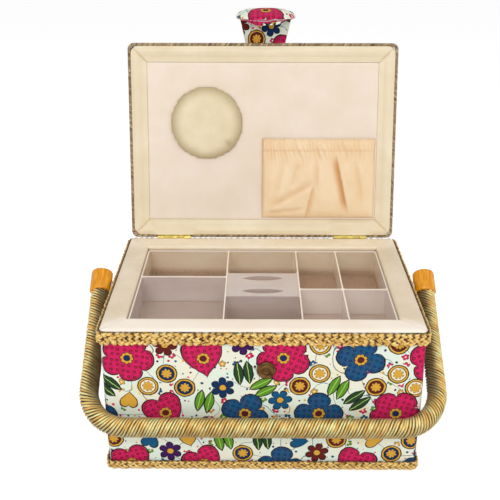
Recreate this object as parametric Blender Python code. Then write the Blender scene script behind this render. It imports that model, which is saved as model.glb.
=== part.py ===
"""A sewing basket: a cloth-covered wooden box with a padded lid, a lift-out tray and a wound handle.

Metres, +Z up, +X right, the back of the basket at +Y. The origin is the centre of the base's
underside. The lid stands open, the handle hangs forward and the tray sits on its ledges.
"""
import math

import bmesh
import bpy
from mathutils import Vector

GAP = 0.0003

# Box
BODY_WIDTH = 0.300
BODY_DEPTH = 0.218
BODY_HEIGHT = 0.155
CORNER_RADIUS = 0.005
CORNER_STEPS = 4
COVER_THICK = 0.0012
COVER_TOP_DROP = 0.0007
COVER_BOTTOM_RISE = 0.0006
BOARD_THICK = 0.004
BASE_THICK = 0.005
LINING_THICK = 0.002

# Padded rim round the mouth of the box
RIM_THICK = 0.0045
RIM_WIDTH_SIDE = 0.0215
RIM_WIDTH_FRONT = 0.022
RIM_WIDTH_BACK = 0.027
RIM_SOFT_EDGE = 0.0012
SOFT_EDGE_STEPS = 1

# Straw plaits round the outside
TOP_BRAID_HEIGHT = 0.0127
TOP_BRAID_THICK = 0.0043
TOP_BRAID_DROP = 0.0021
BOTTOM_BRAID_HEIGHT = 0.009
BOTTOM_BRAID_THICK = 0.0036
BRAID_SHOULDER = 0.0022
BRAID_EDGE_THICK = 0.0018

# Tray and the ledges that carry it
TRAY_CLEARANCE = 0.0008
TRAY_HEIGHT = 0.031
TRAY_WALL = 0.0016
TRAY_FLOOR = 0.0016
TRAY_DIVIDER = 0.0014
TRAY_CORNER = 0.002
TRAY_CORNER_STEPS = 2
TRAY_CENTRE_COLUMN = 0.075
TRAY_RIGHT_COLUMN = 0.044
TRAY_LEFT_CROSS_Y = 0.013
TRAY_RIGHT_CROSS_Y = -0.0155
TRAY_STEP_FRONT_Y = -0.030
TRAY_STEP_DEPTH = 0.054
TRAY_STEP_SLAB = 0.0145
TRAY_STEP_DROP = 0.0012
SCOOP_WIDTH = 0.044
SCOOP_DEPTH = 0.0105
SCOOP_SINK = 0.0125
SCOOP_SPACING = 0.030
SCOOP_STEPS = 8
SCOOP_ROUNDNESS = 2.6
LEDGE_REACH = 0.0045
LEDGE_HEIGHT = 0.008

# Lid
LID_LEAN_DEG = 12.7
LID_RAIL_WIDTH = 0.0156
LID_RAIL_THICK = 0.011
LID_BOARD_THICK = 0.004
LID_LINING_THICK = 0.001
LID_FOAM_EDGE = 0.0035
LID_FOAM_CROWN = 0.0105
LID_CROWN_ROUND = 0.006
LID_CROWN_POWER = 2.4
LID_SIDE_SHARES = ((0, 0), (0, 0.55), (0.35, 0.85), (1, 1))
LID_CROWN_SHARES = (0.88, 0.72, 0.52, 0.28)
LID_COVER_RISE = 0.0016
PIPING_RADIUS = 0.0015
PIPING_SIDES = 8
PIPING_RISE = 0.0039

# Hinges of the lid
HINGE_INSET = 0.0005
HINGE_WIDTH = 0.037
HINGE_FROM_SIDE = 0.049
HINGE_KNUCKLES = 5
KNUCKLE_RADIUS = 0.002
KNUCKLE_GAP = 0.0003
KNUCKLE_END = 0.0001
HINGE_PIN_RADIUS = 0.001
HINGE_PIN_CLEARANCE = 0.00035
HINGE_PIN_HEAD = 0.0006
LEAF_LENGTH = 0.0145
LEAF_THICK = 0.001
LEAF_OFFSET = 0.0003
SCREW_HEAD_RADIUS = 0.0022
SCREW_HEAD_DEPTH = 0.0007
SCREW_SHANK_RADIUS = 0.0011
SCREW_LENGTH = 0.0036
SCREW_SPACING = 0.024
SCREW_SIDES = 8

# Pincushion and pocket inside the lid
PINCUSHION_RADIUS = 0.0405
PINCUSHION_HEIGHT = 0.0118
PINCUSHION_SIDE_GAP = 0.0263
PINCUSHION_TOP_GAP = 0.0266
PINCUSHION_BASE_RADIUS = 0.037
PINCUSHION_BASE_THICK = 0.001
PINCUSHION_SIDES = 24
PINCUSHION_RINGS = 6
PINCUSHION_SIDE_POWER = 0.6
PINCUSHION_CROWN_POWER = 0.9
POCKET_LEFT_X = -0.0003
POCKET_SIDE_GAP = 0.0019
POCKET_LOW = 0.0225
POCKET_HIGH = 0.1125
POCKET_CLOTH = 0.001
POCKET_BULGE = 0.0082
POCKET_RAMP = 0.010
POCKET_FOLD = 0.001
POCKET_FOLDS = 6
POCKET_COLUMNS = 26
POCKET_ROWS = 8
ELASTIC_THICK = 0.0005
ELASTIC_WIDTH = 0.006
ELASTIC_DROP = 0.004
ELASTIC_END = 0.012

# Closure flap on the lid and its magnetic snap
TAB_X = 0.003
TAB_AXIS_RISE = 0.012
TAB_AXIS_OUT = 0.0005
TAB_OFFSET = 0.0068
TAB_THICK = 0.0045
TAB_ROOT_LENGTH = 0.034
TAB_TIP_LENGTH = 0.037
TAB_ROOT_WIDTH = 0.0425
TAB_FOLD_WIDTH = 0.060
TAB_WIDEST = 0.066
TAB_FOLD_DEG = 111.0
TAB_EDGE_ROUND = 0.0012
TAB_TIP_ROUND = 0.022
TAB_TIP_POWER = 0.8
TAB_TIP_STEPS = 7
SNAP_RADIUS = 0.009
SNAP_POST_RADIUS = 0.0022
SNAP_POST_LENGTH = 0.0012
SNAP_SOCKET_THICK = 0.00235
SNAP_SOCKET_BORE = 0.0027
SNAP_SOCKET_SINK = 0.0016
SNAP_SOCKET_DISH = 0.0007
SNAP_RIM_WIDTH = 0.0022
SNAP_STEM_RADIUS = 0.002
SNAP_BACK_RADIUS = 0.0075
SNAP_BACK_THICK = 0.0014
SNAP_DROP = 0.042
SNAP_SIDES = 18

# Handle
HANDLE_HANG = 0.0878
HANDLE_CORNER = 0.038
HANDLE_CORNER_STEPS = 10
HANDLE_PIVOT_DROP = 0.009
HANDLE_REST_GAP = 0.0056
WINDING_RADIUS = 0.0095
WINDING_ROOT_RADIUS = 0.0087
WINDING_BORE_RADIUS = 0.0081
WINDING_PITCH = 0.0036
WINDING_SIDES = 8
CORE_RADIUS = 0.0071
CORE_SIDES = 10
CAP_RADIUS = 0.011
CAP_BEYOND_PIVOT = 0.016
CAP_BEFORE_PIVOT = 0.008
CAP_END_THICK = 0.003
CAP_ROUND = 0.0016
CAP_ROUND_STEPS = 2
CAP_SIDES = 16
CORE_FIT = 0.0004
BOLT_RADIUS = 0.0025
BOLT_CLEARANCE = 0.0003
BOLT_HEAD_RADIUS = 0.004
BOLT_HEAD_THICK = 0.0018
BOLT_BITE = 0.004
BOLT_SIDES = 10
SPACER_RADIUS = 0.0045
SPACER_LENGTH = 0.0016

CUT_OVERRUN = 0.002

# Derived planes and places
HALF_WIDTH = BODY_WIDTH / 2
HALF_DEPTH = BODY_DEPTH / 2
WOOD_X = HALF_WIDTH - COVER_THICK - GAP
WOOD_Y = HALF_DEPTH - COVER_THICK - GAP
WOOD_CORNER = CORNER_RADIUS - COVER_THICK - GAP
WALL_X = WOOD_X - BOARD_THICK
WALL_Y = WOOD_Y - BOARD_THICK
ROOM_X = WALL_X - GAP - LINING_THICK
ROOM_Y = WALL_Y - GAP - LINING_THICK
WALL_TOP = BODY_HEIGHT - RIM_THICK - GAP
FLOOR_Z = BASE_THICK + GAP + LINING_THICK
MOUTH_X = HALF_WIDTH - RIM_WIDTH_SIDE
MOUTH_FRONT = -HALF_DEPTH + RIM_WIDTH_FRONT
MOUTH_BACK = HALF_DEPTH - RIM_WIDTH_BACK
TRAY_X = MOUTH_X - TRAY_CLEARANCE
TRAY_FRONT = MOUTH_FRONT + TRAY_CLEARANCE
TRAY_BACK = MOUTH_BACK - TRAY_CLEARANCE
TRAY_TOP = BODY_HEIGHT - RIM_THICK
TRAY_BOTTOM = TRAY_TOP - TRAY_HEIGHT
HINGE_Y = HALF_DEPTH - HINGE_INSET
HINGE_Z = BODY_HEIGHT + GAP
PIVOT_Z = BODY_HEIGHT - HANDLE_PIVOT_DROP
SNAP_Z = BODY_HEIGHT - SNAP_DROP
HINGE_CENTRE_X = HALF_WIDTH - HINGE_FROM_SIDE
SPACER_X = HALF_WIDTH + TOP_BRAID_THICK + GAP
HANDLE_ARM_X = SPACER_X + SPACER_LENGTH + GAP + CAP_RADIUS
HANDLE_BAR_Y = HALF_DEPTH + WINDING_RADIUS + HANDLE_REST_GAP
HANDLE_REACH = math.hypot(HANDLE_BAR_Y, HANDLE_HANG)
TAB_INNER = TAB_OFFSET - TAB_THICK / 2
TAB_OUTER = TAB_OFFSET + TAB_THICK / 2
SNAP_STUD_THICK = TAB_INNER + TAB_AXIS_OUT - SNAP_SOCKET_THICK - 3 * GAP

# The lid is drawn closed, from its hinge axis: y runs back, z up from the lid's inner face
LID_FRONT = -HALF_DEPTH - HINGE_Y
LID_BACK = HALF_DEPTH - HINGE_Y
LID_MID_Y = (LID_FRONT + LID_BACK) / 2
LID_COVER_IN = 2 * PIPING_RADIUS + GAP
LID_X = HALF_WIDTH - LID_COVER_IN
LID_Y = HALF_DEPTH - LID_COVER_IN
LID_WOOD_X = LID_X - COVER_THICK - GAP
LID_WOOD_Y = LID_Y - COVER_THICK - GAP
LID_BOARD_Z = LID_RAIL_THICK + GAP
LID_FOAM_Z = LID_BOARD_Z + LID_BOARD_THICK + GAP
LID_LINING_Z = LID_RAIL_THICK - LID_LINING_THICK
LID_FIELD_X = LID_WOOD_X - LID_RAIL_WIDTH
LID_FIELD_FRONT = LID_MID_Y - LID_WOOD_Y + LID_RAIL_WIDTH
LID_FIELD_BACK = LID_MID_Y + LID_WOOD_Y - LID_RAIL_WIDTH
PINCUSHION_X = -LID_FIELD_X + PINCUSHION_SIDE_GAP + PINCUSHION_RADIUS
PINCUSHION_Y = LID_FIELD_FRONT + PINCUSHION_TOP_GAP + PINCUSHION_RADIUS
POCKET_WIDTH = LID_FIELD_X - POCKET_SIDE_GAP - POCKET_LEFT_X


def clear_scene():
    for obj in list(bpy.data.objects):
        bpy.data.objects.remove(obj, do_unlink=True)


def make_material(name, colour, roughness, metallic=0.0, alpha=1.0):
    material = bpy.data.materials.new(name)
    material.use_nodes = True
    shader = material.node_tree.nodes["Principled BSDF"]
    shader.inputs["Base Color"].default_value = (*colour, 1.0)
    shader.inputs["Roughness"].default_value = roughness
    shader.inputs["Metallic"].default_value = metallic
    shader.inputs["Alpha"].default_value = alpha
    return material


def add_object(name, bm, colour, parent=None, smooth_deg=35.0, roughness=0.8, metallic=0.0, alpha=1.0):
    """Turn a bmesh into a named object with its own material."""
    bmesh.ops.recalc_face_normals(bm, faces=bm.faces)
    mesh = bpy.data.meshes.new(name)
    bm.to_mesh(mesh)
    bm.free()
    mesh.shade_smooth()
    mesh.set_sharp_from_angle(angle=math.radians(smooth_deg))
    mesh.materials.append(make_material(name, colour, roughness, metallic, alpha))
    obj = bpy.data.objects.new(name, mesh)
    bpy.context.scene.collection.objects.link(obj)
    if parent is not None:
        obj.parent = parent
    return obj


def add_axis(name, place, turn_x_deg=0.0, parent=None):
    """An empty on a joint's axis; every joint here turns about X or slides along Z."""
    empty = bpy.data.objects.new(name, None)
    bpy.context.scene.collection.objects.link(empty)
    empty.location = place
    empty.rotation_euler = (math.radians(turn_x_deg), 0.0, 0.0)
    if parent is not None:
        empty.parent = parent
    return empty


def subtract(obj, cutter):
    cutter.hide_render = True
    cutter.display_type = "WIRE"
    modifier = obj.modifiers.new("cut_" + cutter.name, "BOOLEAN")
    modifier.operation = "DIFFERENCE"
    modifier.solver = "EXACT"
    modifier.object = cutter


def unite(obj, other):
    other.hide_render = True
    other.display_type = "WIRE"
    modifier = obj.modifiers.new("join_" + other.name, "BOOLEAN")
    modifier.operation = "UNION"
    modifier.solver = "EXACT"
    modifier.object = other


def rounded_outline(half_x, half_y, radius, steps=CORNER_STEPS, mid_y=0.0):
    """Points round a rectangle with round corners, anticlockwise from the right side."""
    points = []
    for corner, (sx, sy) in enumerate(((1, -1), (1, 1), (-1, 1), (-1, -1))):
        centre = Vector((sx * (half_x - radius), sy * (half_y - radius)))
        for step in range(steps + 1):
            angle = math.radians(-90 + 90 * corner + 90 * step / steps)
            x = centre.x + radius * math.cos(angle)
            y = centre.y + radius * math.sin(angle) + mid_y
            points.append((x, y))
    return points


def add_loop(bm, points):
    return [bm.verts.new(point) for point in points]


def bridge(bm, low, high):
    count = len(low)
    for i in range(count):
        after = (i + 1) % count
        bm.faces.new((low[i], low[after], high[after], high[i]))


def loft(loops):
    """A closed solid through loops of equal counts, with a face on each end."""
    bm = bmesh.new()
    rings = [add_loop(bm, points) for points in loops]
    for low, high in zip(rings, rings[1:]):
        bridge(bm, low, high)
    bm.faces.new(rings[0])
    bm.faces.new(rings[-1])
    return bm


def closed_band(loops):
    """A closed solid through loops that come back to the first one, like a hoop."""
    bm = bmesh.new()
    rings = [add_loop(bm, points) for points in loops]
    for i, low in enumerate(rings):
        bridge(bm, low, rings[(i + 1) % len(rings)])
    return bm


def prism(outline, low, high):
    return loft([[(x, y, z) for x, y in outline] for z in (low, high)])


def box(x0, x1, y0, y1, z0, z1):
    return prism(((x0, y0), (x1, y0), (x1, y1), (x0, y1)), z0, z1)


def merge(*parts):
    """Several bodies in one bmesh, for cutters and groups of fasteners."""
    whole = bmesh.new()
    for part in parts:
        mesh = bpy.data.meshes.new("part")
        part.to_mesh(mesh)
        part.free()
        whole.from_mesh(mesh)
        bpy.data.meshes.remove(mesh)
    return whole


def turned(profile, sides, place):
    """A body turned about an axis: profile is (radius, along) and place(radius, angle, along)."""
    bm = bmesh.new()
    rings = []
    for radius, along in profile:
        if radius == 0:
            rings.append([bm.verts.new(place(0.0, 0.0, along))])
            continue
        angles = [math.tau * i / sides for i in range(sides)]
        rings.append([bm.verts.new(place(radius, angle, along)) for angle in angles])
    for low, high in zip(rings, rings[1:]):
        if len(low) == 1 or len(high) == 1:
            fan = high if len(low) == 1 else low
            tip = low[0] if len(low) == 1 else high[0]
            for i in range(sides):
                bm.faces.new((tip, fan[i], fan[(i + 1) % sides]))
        else:
            bridge(bm, low, high)
    return bm


def about_x(x, y, z, sign=1):
    return lambda r, a, h: (x + sign * h, y + r * math.cos(a), z + r * math.sin(a))


def about_y(x, y, z, sign=1):
    return lambda r, a, h: (x + r * math.cos(a), y + sign * h, z + r * math.sin(a))


def about_z(x, y, z, sign=1):
    return lambda r, a, h: (x + r * math.cos(a), y + r * math.sin(a), z + sign * h)


def rod(radius, length, sides, place):
    return turned(((0, 0), (radius, 0), (radius, length), (0, length)), sides, place)


def soften(obj, width, steps=SOFT_EDGE_STEPS):
    modifier = obj.modifiers.new("soft_edge", "BEVEL")
    modifier.width = width
    modifier.segments = steps
    modifier.limit_method = "ANGLE"


# Colours, as linear values
WOOD = (0.52, 0.38, 0.23)
SATIN = (0.85, 0.77, 0.64)
PRINT = (0.78, 0.80, 0.74)
STRAW = (0.56, 0.36, 0.13)
TWINE = (0.46, 0.30, 0.13)
BRASS = (0.72, 0.60, 0.25)
STEEL = (0.55, 0.55, 0.53)
BRONZE = (0.20, 0.14, 0.07)
PLASTIC = (0.78, 0.74, 0.68)
FOAM = (0.85, 0.83, 0.70)
EDGE_CORD = (0.25, 0.16, 0.06)
POCKET_SATIN = (0.90, 0.69, 0.45)
ELASTIC = (0.80, 0.78, 0.70)
ORANGE = (0.87, 0.38, 0.05)


def make_box():
    floor = rounded_outline(WOOD_X, WOOD_Y, WOOD_CORNER)
    add_object("base_board", prism(floor, 0.0, BASE_THICK), WOOD)
    low = BASE_THICK + GAP
    for name, side in (("front_board", -1), ("back_board", 1)):
        strip = [(x, y) for x, y in floor if side * y >= WALL_Y]
        strip = sorted_outline(strip + [(WOOD_X, side * WALL_Y), (-WOOD_X, side * WALL_Y)])
        add_object(name, prism(strip, low, WALL_TOP), WOOD)
    for name, side in (("left_board", -1), ("right_board", 1)):
        x0, x1 = sorted((side * WALL_X, side * WOOD_X))
        wall = add_object(name, box(x0, x1, -WALL_Y + GAP, WALL_Y - GAP, low, WALL_TOP), WOOD)
        subtract(wall, bolt_hole(name, side))


def sorted_outline(points):
    """Put the points of a convex outline in order round its middle."""
    mid_x = sum(x for x, y in points) / len(points)
    mid_y = sum(y for x, y in points) / len(points)
    return sorted(set(points), key=lambda p: math.atan2(p[1] - mid_y, p[0] - mid_x))


def bolt_hole(name, side):
    """A clearance hole for the handle's bolt, from inside the lining to past the plait."""
    start = ROOM_X - BOLT_HEAD_THICK - CUT_OVERRUN
    length = HANDLE_ARM_X + BOLT_BITE + GAP - start
    hole = rod(BOLT_RADIUS + BOLT_CLEARANCE, length, BOLT_SIDES, about_x(side * start, 0.0, PIVOT_Z, side))
    return add_object("bolt_hole_" + name, hole, STEEL)


def make_cover():
    """The printed cloth round the four walls, with slots at the top for the hinge barrels."""
    low, high = COVER_BOTTOM_RISE, BODY_HEIGHT - COVER_TOP_DROP
    inner = CORNER_RADIUS - COVER_THICK
    loops = []
    for inset, radius, z in ((0, CORNER_RADIUS, low), (0, CORNER_RADIUS, high), (COVER_THICK, inner, high),
                             (COVER_THICK, inner, low)):
        ring = rounded_outline(HALF_WIDTH - inset, HALF_DEPTH - inset, radius)
        loops.append([(x, y, z) for x, y in ring])
    cover = add_object("body_fabric", closed_band(loops), PRINT)
    for side, tag in ((-1, "left"), (1, "right")):
        subtract(cover, bolt_hole("cover_" + tag, side))
    stem = rod(SNAP_STEM_RADIUS + GAP, COVER_THICK + BOARD_THICK + 2 * CUT_OVERRUN, BOLT_SIDES,
               about_y(TAB_X, -HALF_DEPTH - CUT_OVERRUN, SNAP_Z))
    stem_hole = add_object("snap_stem_hole", stem, STEEL)
    subtract(cover, stem_hole)
    subtract(bpy.data.objects["front_board"], stem_hole)
    subtract(cover, barrel_slots("cover"))


def barrel_slots(name):
    """Room for the two hinge barrels in the back edge of the box."""
    half = HINGE_WIDTH / 2 + HINGE_PIN_HEAD + GAP
    reach = KNUCKLE_RADIUS + GAP
    slots = [box(side * HINGE_CENTRE_X - half, side * HINGE_CENTRE_X + half, HINGE_Y - reach,
                 HINGE_Y + reach + CUT_OVERRUN, HINGE_Z - reach, HINGE_Z + CUT_OVERRUN) for side in (-1, 1)]
    return add_object("barrel_slots_" + name, merge(*slots), STEEL)


def make_braid(name, low, height, thick):
    """One plait as a hoop whose outer face is rounded off at top and bottom."""
    start = GAP
    profile = ((start, 0), (start + BRAID_EDGE_THICK, 0), (thick, BRAID_SHOULDER),
               (thick, height - BRAID_SHOULDER), (start + BRAID_EDGE_THICK, height), (start, height))
    loops = []
    for out, up in profile:
        ring = rounded_outline(HALF_WIDTH + out, HALF_DEPTH + out, CORNER_RADIUS + out)
        loops.append([(x, y, low + up) for x, y in ring])
    return add_object(name, closed_band(loops), STRAW)


def make_braids():
    top_low = BODY_HEIGHT - TOP_BRAID_DROP - TOP_BRAID_HEIGHT
    top = make_braid("top_braid", top_low, TOP_BRAID_HEIGHT, TOP_BRAID_THICK)
    for side, tag in ((-1, "left"), (1, "right")):
        subtract(top, bolt_hole("braid_" + tag, side))
    make_braid("bottom_braid", COVER_BOTTOM_RISE, BOTTOM_BRAID_HEIGHT, BOTTOM_BRAID_THICK)


def make_lining():
    inside = GAP + LINING_THICK
    low = BASE_THICK + GAP
    floor = box(-WALL_X + GAP, WALL_X - GAP, -WALL_Y + GAP, WALL_Y - GAP, low, FLOOR_Z)
    add_object("lining_floor", floor, SATIN)
    low = FLOOR_Z + GAP
    for name, side in (("lining_front", -1), ("lining_back", 1)):
        y0, y1 = sorted((side * (WALL_Y - inside), side * (WALL_Y - GAP)))
        panel = add_object(name, box(-WALL_X + GAP, WALL_X - GAP, y0, y1, low, WALL_TOP), SATIN)
        if side < 0:
            hole = rod(SNAP_BACK_RADIUS + GAP, LINING_THICK + 2 * CUT_OVERRUN, SNAP_SIDES,
                       about_y(TAB_X, -WALL_Y - CUT_OVERRUN, SNAP_Z))
            subtract(panel, add_object("snap_back_hole", hole, STEEL))
    for name, side in (("lining_left", -1), ("lining_right", 1)):
        x0, x1 = sorted((side * (WALL_X - inside), side * (WALL_X - GAP)))
        panel = add_object(name, box(x0, x1, -ROOM_Y + GAP, ROOM_Y - GAP, low, WALL_TOP), SATIN)
        subtract(panel, bolt_hole(name, side))
    for name, side in (("tray_ledge_left", -1), ("tray_ledge_right", 1)):
        x0, x1 = sorted((side * (TRAY_X - LEDGE_REACH), side * (ROOM_X - GAP)))
        high = TRAY_BOTTOM - GAP
        add_object(name, box(x0, x1, -ROOM_Y + 2 * GAP, ROOM_Y - 2 * GAP, high - LEDGE_HEIGHT, high), WOOD)


def mitred_frame(outer_x, outer_front, outer_back, inner_x, inner_front, inner_back, radius):
    """Outlines of four strips round an opening, mitred at the corners, by side name."""
    mid_y = (outer_front + outer_back) / 2
    half_y = (outer_back - outer_front) / 2
    outer = rounded_outline(outer_x, half_y, radius, mid_y=mid_y)
    count = CORNER_STEPS + 1
    half = CORNER_STEPS // 2
    corner = [outer[i * count:(i + 1) * count] for i in range(4)]
    inner = ((inner_x, inner_front), (inner_x, inner_back), (-inner_x, inner_back), (-inner_x, inner_front))
    names = ("right", "back", "left", "front")
    slides = ((0, 1), (-1, 0), (0, -1), (1, 0))
    outlines = {}
    for side, name in enumerate(names):
        after = (side + 1) % 4
        slide_x, slide_y = slides[side]
        first = corner[side][half:] + corner[after][:half + 1]
        start, end = first[0], first[-1]
        inner_start, inner_end = inner[side], inner[after]
        shift = (slide_x * GAP, slide_y * GAP)
        outline = [(start[0] + shift[0], start[1] + shift[1])] + first[1:-1]
        outline.append((end[0] - shift[0], end[1] - shift[1]))
        outline.append((inner_end[0] - shift[0], inner_end[1] - shift[1]))
        outline.append((inner_start[0] + shift[0], inner_start[1] + shift[1]))
        outlines[name] = outline
    return outlines


def make_rim():
    low = BODY_HEIGHT - RIM_THICK
    frame = mitred_frame(WOOD_X, -WOOD_Y, WOOD_Y, MOUTH_X, MOUTH_FRONT, MOUTH_BACK, WOOD_CORNER)
    for side, outline in frame.items():
        pad = add_object("rim_" + side, prism(outline, low, BODY_HEIGHT), SATIN)
        soften(pad, RIM_SOFT_EDGE)
        if side == "back":
            subtract(pad, barrel_slots("rim"))
            subtract(pad, leaf_recess("rim_recess", -1))
            subtract(pad, screw_holes("rim_screw_holes", -1))


def hinge_sides():
    return (("left", -HINGE_CENTRE_X), ("right", HINGE_CENTRE_X))


def leaf_recess(name, up, parent=None):
    """Shallow beds for the two hinge leaves, below the axis (up -1) or above it (up 1)."""
    beds = []
    y, z = (0.0, 0.0) if parent else (HINGE_Y, HINGE_Z)
    for _, x in hinge_sides():
        half = HINGE_WIDTH / 2 + GAP
        z0, z1 = sorted((z, z + up * (LEAF_OFFSET + LEAF_THICK + GAP)))
        if up > 0:
            z0 = z - CUT_OVERRUN
        else:
            z1 = z + CUT_OVERRUN
        beds.append(box(x - half, x + half, y - LEAF_LENGTH - GAP, y + KNUCKLE_RADIUS, z0, z1))
    return add_object(name, merge(*beds), STEEL, parent)


def screw_places():
    """Places of the screws from the hinge axis, with a tag for each."""
    along = -(KNUCKLE_RADIUS + LEAF_LENGTH) / 2
    return [(f"{tag}_{number}", x + offset * SCREW_SPACING / 2, along)
            for tag, x in hinge_sides() for number, offset in ((1, -1), (2, 1))]


def screw_profile(grow):
    """A countersunk screw from its flat head down, (radius, depth)."""
    head = SCREW_HEAD_RADIUS + grow
    shank = SCREW_SHANK_RADIUS + grow
    neck = ((shank, SCREW_HEAD_DEPTH + grow), (shank, SCREW_LENGTH))
    tip = ((0, SCREW_LENGTH + SCREW_SHANK_RADIUS / 2 + grow),)
    if grow:
        return ((0, -CUT_OVERRUN), (head, -CUT_OVERRUN), (head, grow)) + neck + tip
    return ((0, 0), (head, 0)) + neck + tip


def screw_bodies(grow, up, y, z):
    """Tagged screws, or the holes that take them, driven down (up -1) or up into the wood."""
    bodies = []
    for tag, x, along in screw_places():
        place = about_z(x, y + along, z + up * LEAF_OFFSET, up)
        bodies.append((tag, turned(screw_profile(grow), SCREW_SIDES, place)))
    return bodies


def screw_holes(name, up, parent=None):
    y, z = (0.0, 0.0) if parent else (HINGE_Y, HINGE_Z)
    holes = merge(*[body for _, body in screw_bodies(GAP, up, y, z)])
    return add_object(name, holes, STEEL, parent)


def knuckle_span(index):
    pitch = HINGE_WIDTH / HINGE_KNUCKLES
    return index * pitch - HINGE_WIDTH / 2 + KNUCKLE_GAP / 2, pitch - KNUCKLE_GAP


def leaf_outline(x, y, own):
    """The leaf from above: a plate whose hinge edge runs out into tongues under its own knuckles."""
    half = HINGE_WIDTH / 2 - KNUCKLE_GAP / 2
    near = y - KNUCKLE_RADIUS - KNUCKLE_GAP
    points = [(x - half, y - LEAF_LENGTH), (x + half, y - LEAF_LENGTH), (x + half, near)]
    for index in reversed(own):
        start, length = knuckle_span(index)
        end = y - LEAF_OFFSET
        left, right = x + start, x + start + length
        points += [(right, near), (right, end), (left, end), (left, near)]
    points.append((x - half, near))
    return [p for p, before in zip(points, points[-1:] + points[:-1]) if math.dist(p, before) > KNUCKLE_END]


def make_leaf(name, x, up, own, parent=None):
    """A hinge leaf: a thin plate that runs into its own rolled knuckles."""
    y, z = (0.0, 0.0) if parent else (HINGE_Y, HINGE_Z)
    z0, z1 = sorted((z + up * LEAF_OFFSET, z + up * (LEAF_OFFSET + LEAF_THICK)))
    plate = prism(leaf_outline(x, y, own), z0, z1)
    leaf = add_object(name, plate, BRASS, parent, roughness=0.35, metallic=1.0)
    subtract(leaf, screw_holes(name + "_screw_holes", up, parent))
    knuckles = []
    for index in own:
        start, length = knuckle_span(index)
        place = about_x(x + start + KNUCKLE_END, y, z)
        knuckles.append(rod(KNUCKLE_RADIUS, length - 2 * KNUCKLE_END, BOLT_SIDES, place))
    unite(leaf, add_object(name + "_knuckles", merge(*knuckles), BRASS, parent))
    bore = rod(HINGE_PIN_RADIUS + HINGE_PIN_CLEARANCE, HINGE_WIDTH + 2 * CUT_OVERRUN, BOLT_SIDES,
               about_x(x - HINGE_WIDTH / 2 - CUT_OVERRUN, y, z))
    subtract(leaf, add_object(name + "_bore", bore, STEEL, parent))


def make_hinges(lid_axis):
    fixed = range(0, HINGE_KNUCKLES, 2)
    moving = range(1, HINGE_KNUCKLES, 2)
    for side, x in hinge_sides():
        make_leaf("hinge_body_leaf_" + side, x, -1, fixed)
        make_leaf("hinge_lid_leaf_" + side, x, 1, moving, lid_axis)
        half = HINGE_WIDTH / 2
        head = HINGE_PIN_RADIUS + HINGE_PIN_CLEARANCE + GAP
        profile = ((0, -HINGE_PIN_HEAD), (head, -HINGE_PIN_HEAD), (head, 0), (HINGE_PIN_RADIUS, 0),
                   (HINGE_PIN_RADIUS, 2 * half), (head, 2 * half), (head, 2 * half + HINGE_PIN_HEAD),
                   (0, 2 * half + HINGE_PIN_HEAD))
        pin = turned(profile, BOLT_SIDES, about_x(x - half, HINGE_Y, HINGE_Z))
        add_object("hinge_pin_" + side, pin, BRASS, roughness=0.35, metallic=1.0)
    for tag, screw in screw_bodies(0.0, -1, HINGE_Y, HINGE_Z):
        add_object("hinge_body_screw_" + tag, screw, BRASS, roughness=0.4, metallic=1.0)
    for tag, screw in screw_bodies(0.0, 1, 0.0, 0.0):
        add_object("hinge_lid_screw_" + tag, screw, BRASS, lid_axis, roughness=0.4, metallic=1.0)


def make_lid_frame(lid_axis):
    """The lid's board, the padded rails round its inner face and the satin between them."""
    outer_front, outer_back = LID_MID_Y - LID_WOOD_Y, LID_MID_Y + LID_WOOD_Y
    frame = mitred_frame(LID_WOOD_X, outer_front, outer_back, LID_FIELD_X, LID_FIELD_FRONT, LID_FIELD_BACK,
                         WOOD_CORNER)
    for side, outline in frame.items():
        rail = add_object("lid_rail_" + side, prism(outline, 0.0, LID_RAIL_THICK), SATIN, lid_axis)
        soften(rail, RIM_SOFT_EDGE)
        if side == "back":
            subtract(rail, leaf_recess("rail_recess", 1, lid_axis))
            subtract(rail, screw_holes("rail_screw_holes", 1, lid_axis))
    board = rounded_outline(LID_WOOD_X, LID_WOOD_Y, WOOD_CORNER, mid_y=LID_MID_Y)
    add_object("lid_board", prism(board, LID_BOARD_Z, LID_BOARD_Z + LID_BOARD_THICK), WOOD, lid_axis)
    lining = box(-LID_FIELD_X + GAP, LID_FIELD_X - GAP, LID_FIELD_FRONT + GAP, LID_FIELD_BACK - GAP,
                 LID_LINING_Z, LID_RAIL_THICK)
    add_object("lid_lining", lining, SATIN, lid_axis)


def crown_loops(half_x, half_y, radius, low, edge_top, crown):
    """Loops up the side of a padded top and over its crown, which gets rounder towards the middle."""
    loops = []
    for inward, upward in LID_SIDE_SHARES:
        inset = inward * LID_CROWN_ROUND
        ring = rounded_outline(half_x - inset, half_y - inset, radius, mid_y=LID_MID_Y)
        z = low + upward * (edge_top - low)
        loops.append([(x, y, z) for x, y in ring])
    half_x_in, half_y_in = half_x - LID_CROWN_ROUND, half_y - LID_CROWN_ROUND
    for share in LID_CROWN_SHARES:
        rise = edge_top + (crown - edge_top) * (1 - share ** LID_CROWN_POWER)
        corner = share * (radius + (1 - share) * half_y_in)
        ring = rounded_outline(half_x_in * share, half_y_in * share, corner, mid_y=LID_MID_Y)
        loops.append([(x, y, rise) for x, y in ring])
    return loops


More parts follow.
